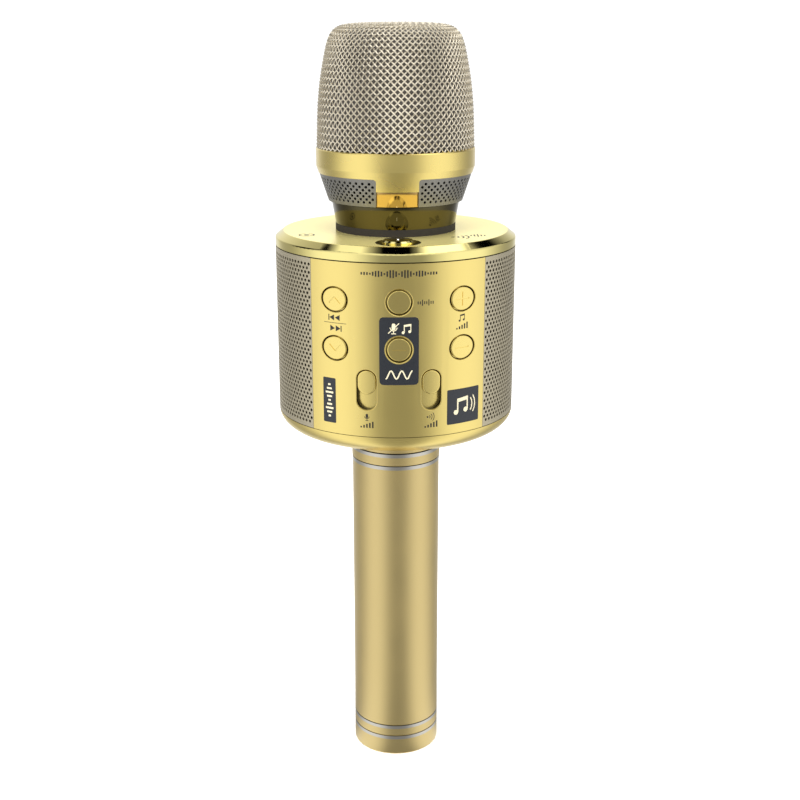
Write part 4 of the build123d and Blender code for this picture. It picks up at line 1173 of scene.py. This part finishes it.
def grey_ramp(tree, share, stops, joins="B_SPLINE"):
    """A grey through (place, brightness) stops, as shares of BRIGHTEST since a ramp ends at 1."""
    node = add_node(tree, "ValToRGB", {"Fac": share})
    ramp = node.color_ramp
    ramp.interpolation = joins
    while len(ramp.elements) < len(stops):
        ramp.elements.new(0.5)
    for element, (place, value) in zip(ramp.elements, stops):
        element.position = place
        element.color = (*[value / BRIGHTEST] * 3, 1.0)
    return node.outputs["Color"]


# Brightness of the tent: round the wall from the front to the back, round its upper part from the back
# past -X, the front and +X to the back again, and across the roof from -X to +X.
WALL_LOW = (
    (0.0, 0.28), (0.09, 0.30), (0.125, 0.45), (0.167, 0.70), (0.22, 1.00), (0.28, 1.08), (0.36, 1.07),
    (0.42, 1.02), (0.47, 0.80), (0.53, 0.56), (0.61, 0.34), (0.72, 0.40), (0.80, 0.80), (1.0, 1.0),
)
WALL_HIGH = (
    (0.0, 1.02), (0.075, 0.9), (0.14, 0.5), (0.17, 0.35), (0.187, 0.28), (0.192, 0.0), (0.245, 0.0),
    (0.28, 0.7), (0.35, 1.0), (0.5, 0.8), (0.65, 1.0), (0.72, 0.8), (0.79, 0.6), (0.815, 0.45),
    (0.825, 0.0), (0.845, 0.0), (0.87, 0.4), (0.925, 0.9), (1.0, 1.02),
)
ROOF = (
    (0.0, 0.0), (0.13, 0.0), (0.17, 0.5), (0.20, 1.05), (0.32, 1.1), (0.36, 0.5), (0.40, 0.15),
    (0.43, 0.0), (0.575, 0.0), (0.61, 0.2), (0.64, 0.8), (0.68, 1.7), (0.86, 1.8), (0.9, 0.7),
    (1.0, 0.5),
)


def tent_material(name):
    """A glowing material for a part of the tent, with its tree and its object coordinates apart."""
    material = bpy.data.materials.new(name)
    material.use_nodes = True
    tree = material.node_tree
    tree.nodes.clear()
    glow = add_node(tree, "Emission", {"Strength": BRIGHTEST})
    add_node(tree, "OutputMaterial", {"Surface": glow.outputs[0]})
    place = add_node(tree, "SeparateXYZ", {0: object_place(tree)}).outputs
    return material, tree, glow.inputs["Color"], place


def wall_material():
    """Light of the tent's wall and mat, by the angle round the axis, in a lower and an upper part."""
    material, tree, colour, place = tent_material("tent_wall")
    azimuth = maths(tree, "ARCTAN2", place["X"], maths(tree, "MULTIPLY", place["Y"], -1.0))
    shifted = maths(tree, "SUBTRACT", azimuth, WALL_TURN)
    share = maths(tree, "DIVIDE", maths(tree, "ABSOLUTE", shifted), math.pi)
    turned = maths(tree, "MULTIPLY_ADD", shifted, 0.5 / math.pi, 0.5)
    low = grey_ramp(tree, share, WALL_LOW)
    high = grey_ramp(tree, turned, WALL_HIGH, "LINEAR")
    start = -UPPER_START / UPPER_FADE
    lift = maths(tree, "MULTIPLY_ADD", place["Z"], 1 / UPPER_FADE, start, clamp=True)
    tree.links.new(mixed(tree, lift, low, high), colour)
    return material


def roof_material():
    """Light of the tent's roof, by the distance across, which widens towards the back."""
    material, tree, colour, place = tent_material("tent_roof")
    behind = maths(tree, "MAXIMUM", maths(tree, "SUBTRACT", place["Y"], ROOF_SPREAD_FROM), 0.0)
    spread = maths(tree, "MULTIPLY_ADD", behind, ROOF_SPREAD, 1.0)
    narrowed = maths(tree, "DIVIDE", place["X"], spread)
    across = maths(tree, "MULTIPLY_ADD", narrowed, 1 / ROOF_WIDTH, 0.5, clamp=True)
    tree.links.new(grey_ramp(tree, across, ROOF, "LINEAR"), colour)
    return material


def stage_object(name, points, faces, material):
    """A mesh that belongs to the stage."""
    mesh = bpy.data.meshes.new(name)
    mesh.from_pydata([tuple(p) for p in points], [], [tuple(int(i) for i in f) for f in faces])
    mesh.materials.append(material)
    piece = scene_object(name, mesh)
    return piece


def reflected_only(piece):
    """The piece shows in polished surfaces and nowhere else."""
    for ray in ("camera", "diffuse", "shadow", "transmission"):
        setattr(piece, f"visible_{ray}", False)


def soft_light(name, place, target, size, power):
    """A square area light that isn't seen in polished surfaces."""
    light = bpy.data.lights.new(name, "AREA")
    light.size = size
    light.energy = power
    piece = scene_object(name, light)
    aim = Vector(target) - Vector(place)
    piece.location = place
    piece.rotation_euler = aim.to_track_quat("-Z", "Y").to_euler()
    piece.visible_glossy = False
    return piece


class MIC_OT_stage(bpy.types.Operator):
    """Lays the floor, hangs the light tent and sets the camera"""

    bl_idname = "microphone.stage"
    bl_label = "Stage"

    def execute(self, context):
        settings = context.scene.mic_stage
        scene = context.scene
        grey = (FLOOR_GREY,) * 3
        floor, _, _ = blank_material("stage_floor", grey, 0.9, 0.0, {"Specular IOR Level": 0.0})
        low, high = -FLOOR_REACH, FLOOR_REACH
        corners = [(low, low, 0), (high, low, 0), (high, high, 0), (low, high, 0)]
        stage_object("floor", corners, [(0, 1, 2, 3)], floor)

        turn = np.arange(TENT_SIDES) * 2 * np.pi / TENT_SIDES
        circle = settings.tent_radius * np.stack([np.cos(turn), np.sin(turn)], axis=1)
        low, high = (np.column_stack([circle, np.full(TENT_SIDES, z)]) for z in (TENT_BOTTOM, TENT_TOP))
        wall, disc_face = wall_material(), [tuple(range(TENT_SIDES))]
        tent = (
            stage_object("tent_wall", np.concatenate([low, high]), grid_faces(2, TENT_SIDES), wall),
            stage_object("tent_mat", low, disc_face, wall),
            stage_object("tent_roof", high, disc_face, roof_material()),
        )
        for piece in tent:
            reflected_only(piece)

        soft_light("light_left", (-0.7, -0.8, 0.9), (0, 0, 0.15), 0.5, 12.0)
        soft_light("light_right", (0.8, -0.7, 0.8), (0, 0, 0.15), 0.6, 7.0)
        soft_light("light_top", (0.0, -0.2, 1.3), (0, 0, 0.1), 0.5, 18.0)

        world = bpy.data.worlds.new("pale_room")
        world.use_nodes = True
        background = world.node_tree.nodes["Background"]
        background.inputs["Color"].default_value = (1, 1, 1, 1)
        background.inputs["Strength"].default_value = ROOM_LIGHT
        scene.world = world
        world.cycles_visibility.glossy = False
        scene.view_settings.view_transform = "Standard"

        lens = bpy.data.cameras.new("camera")
        lens.lens = settings.lens
        lens.sensor_width = 36.0
        lens.clip_start = 0.01
        camera = scene_object("camera", lens)
        away, turned = settings.distance, settings.turn
        camera.location = (-away * math.sin(turned), -away * math.cos(turned), settings.height)
        camera.rotation_euler = (math.pi / 2 - settings.pitch, 0.0, -turned - CAMERA_ASIDE)
        scene.camera = camera
        return {"FINISHED"}


# ---- panel and registration
OPERATORS = (MIC_OT_finishes, MIC_OT_head, MIC_OT_sheets, MIC_OT_prints, MIC_OT_threads, MIC_OT_stage)
SETTINGS = (
    ("mic_weave", WeaveSettings),
    ("mic_sheets", SheetSettings),
    ("mic_finish", FinishSettings),
    ("mic_stage", StageSettings),
)


class MIC_PT_panel(bpy.types.Panel):
    """Lists the microphone's settings and steps"""

    bl_idname = "MIC_PT_panel"
    bl_label = "Microphone"
    bl_space_type = "VIEW_3D"
    bl_region_type = "UI"
    bl_category = "Microphone"

    def draw(self, context):
        for name, kind in SETTINGS:
            box = self.layout.box()
            for key in kind.__annotations__:
                box.prop(getattr(context.scene, name), key)
        for operator in OPERATORS:
            self.layout.operator(operator.bl_idname)


def register():
    """Registers the settings, the steps and the panel."""
    for name, kind in SETTINGS:
        bpy.utils.register_class(kind)
        setattr(bpy.types.Scene, name, PointerProperty(type=kind))
    for kind in (*OPERATORS, MIC_PT_panel):
        bpy.utils.register_class(kind)


def unregister():
    """Removes what register added."""
    for kind in (MIC_PT_panel, *reversed(OPERATORS)):
        bpy.utils.unregister_class(kind)
    for name, kind in reversed(SETTINGS):
        delattr(bpy.types.Scene, name)
        bpy.utils.unregister_class(kind)


def main():
    """Runs every step in order."""
    register()
    bpy.ops.microphone.finishes()
    bpy.ops.microphone.head()
    bpy.ops.microphone.sheets()
    bpy.ops.microphone.prints()
    bpy.ops.microphone.threads()
    bpy.ops.microphone.stage()


if __name__ == "__main__":
    main()
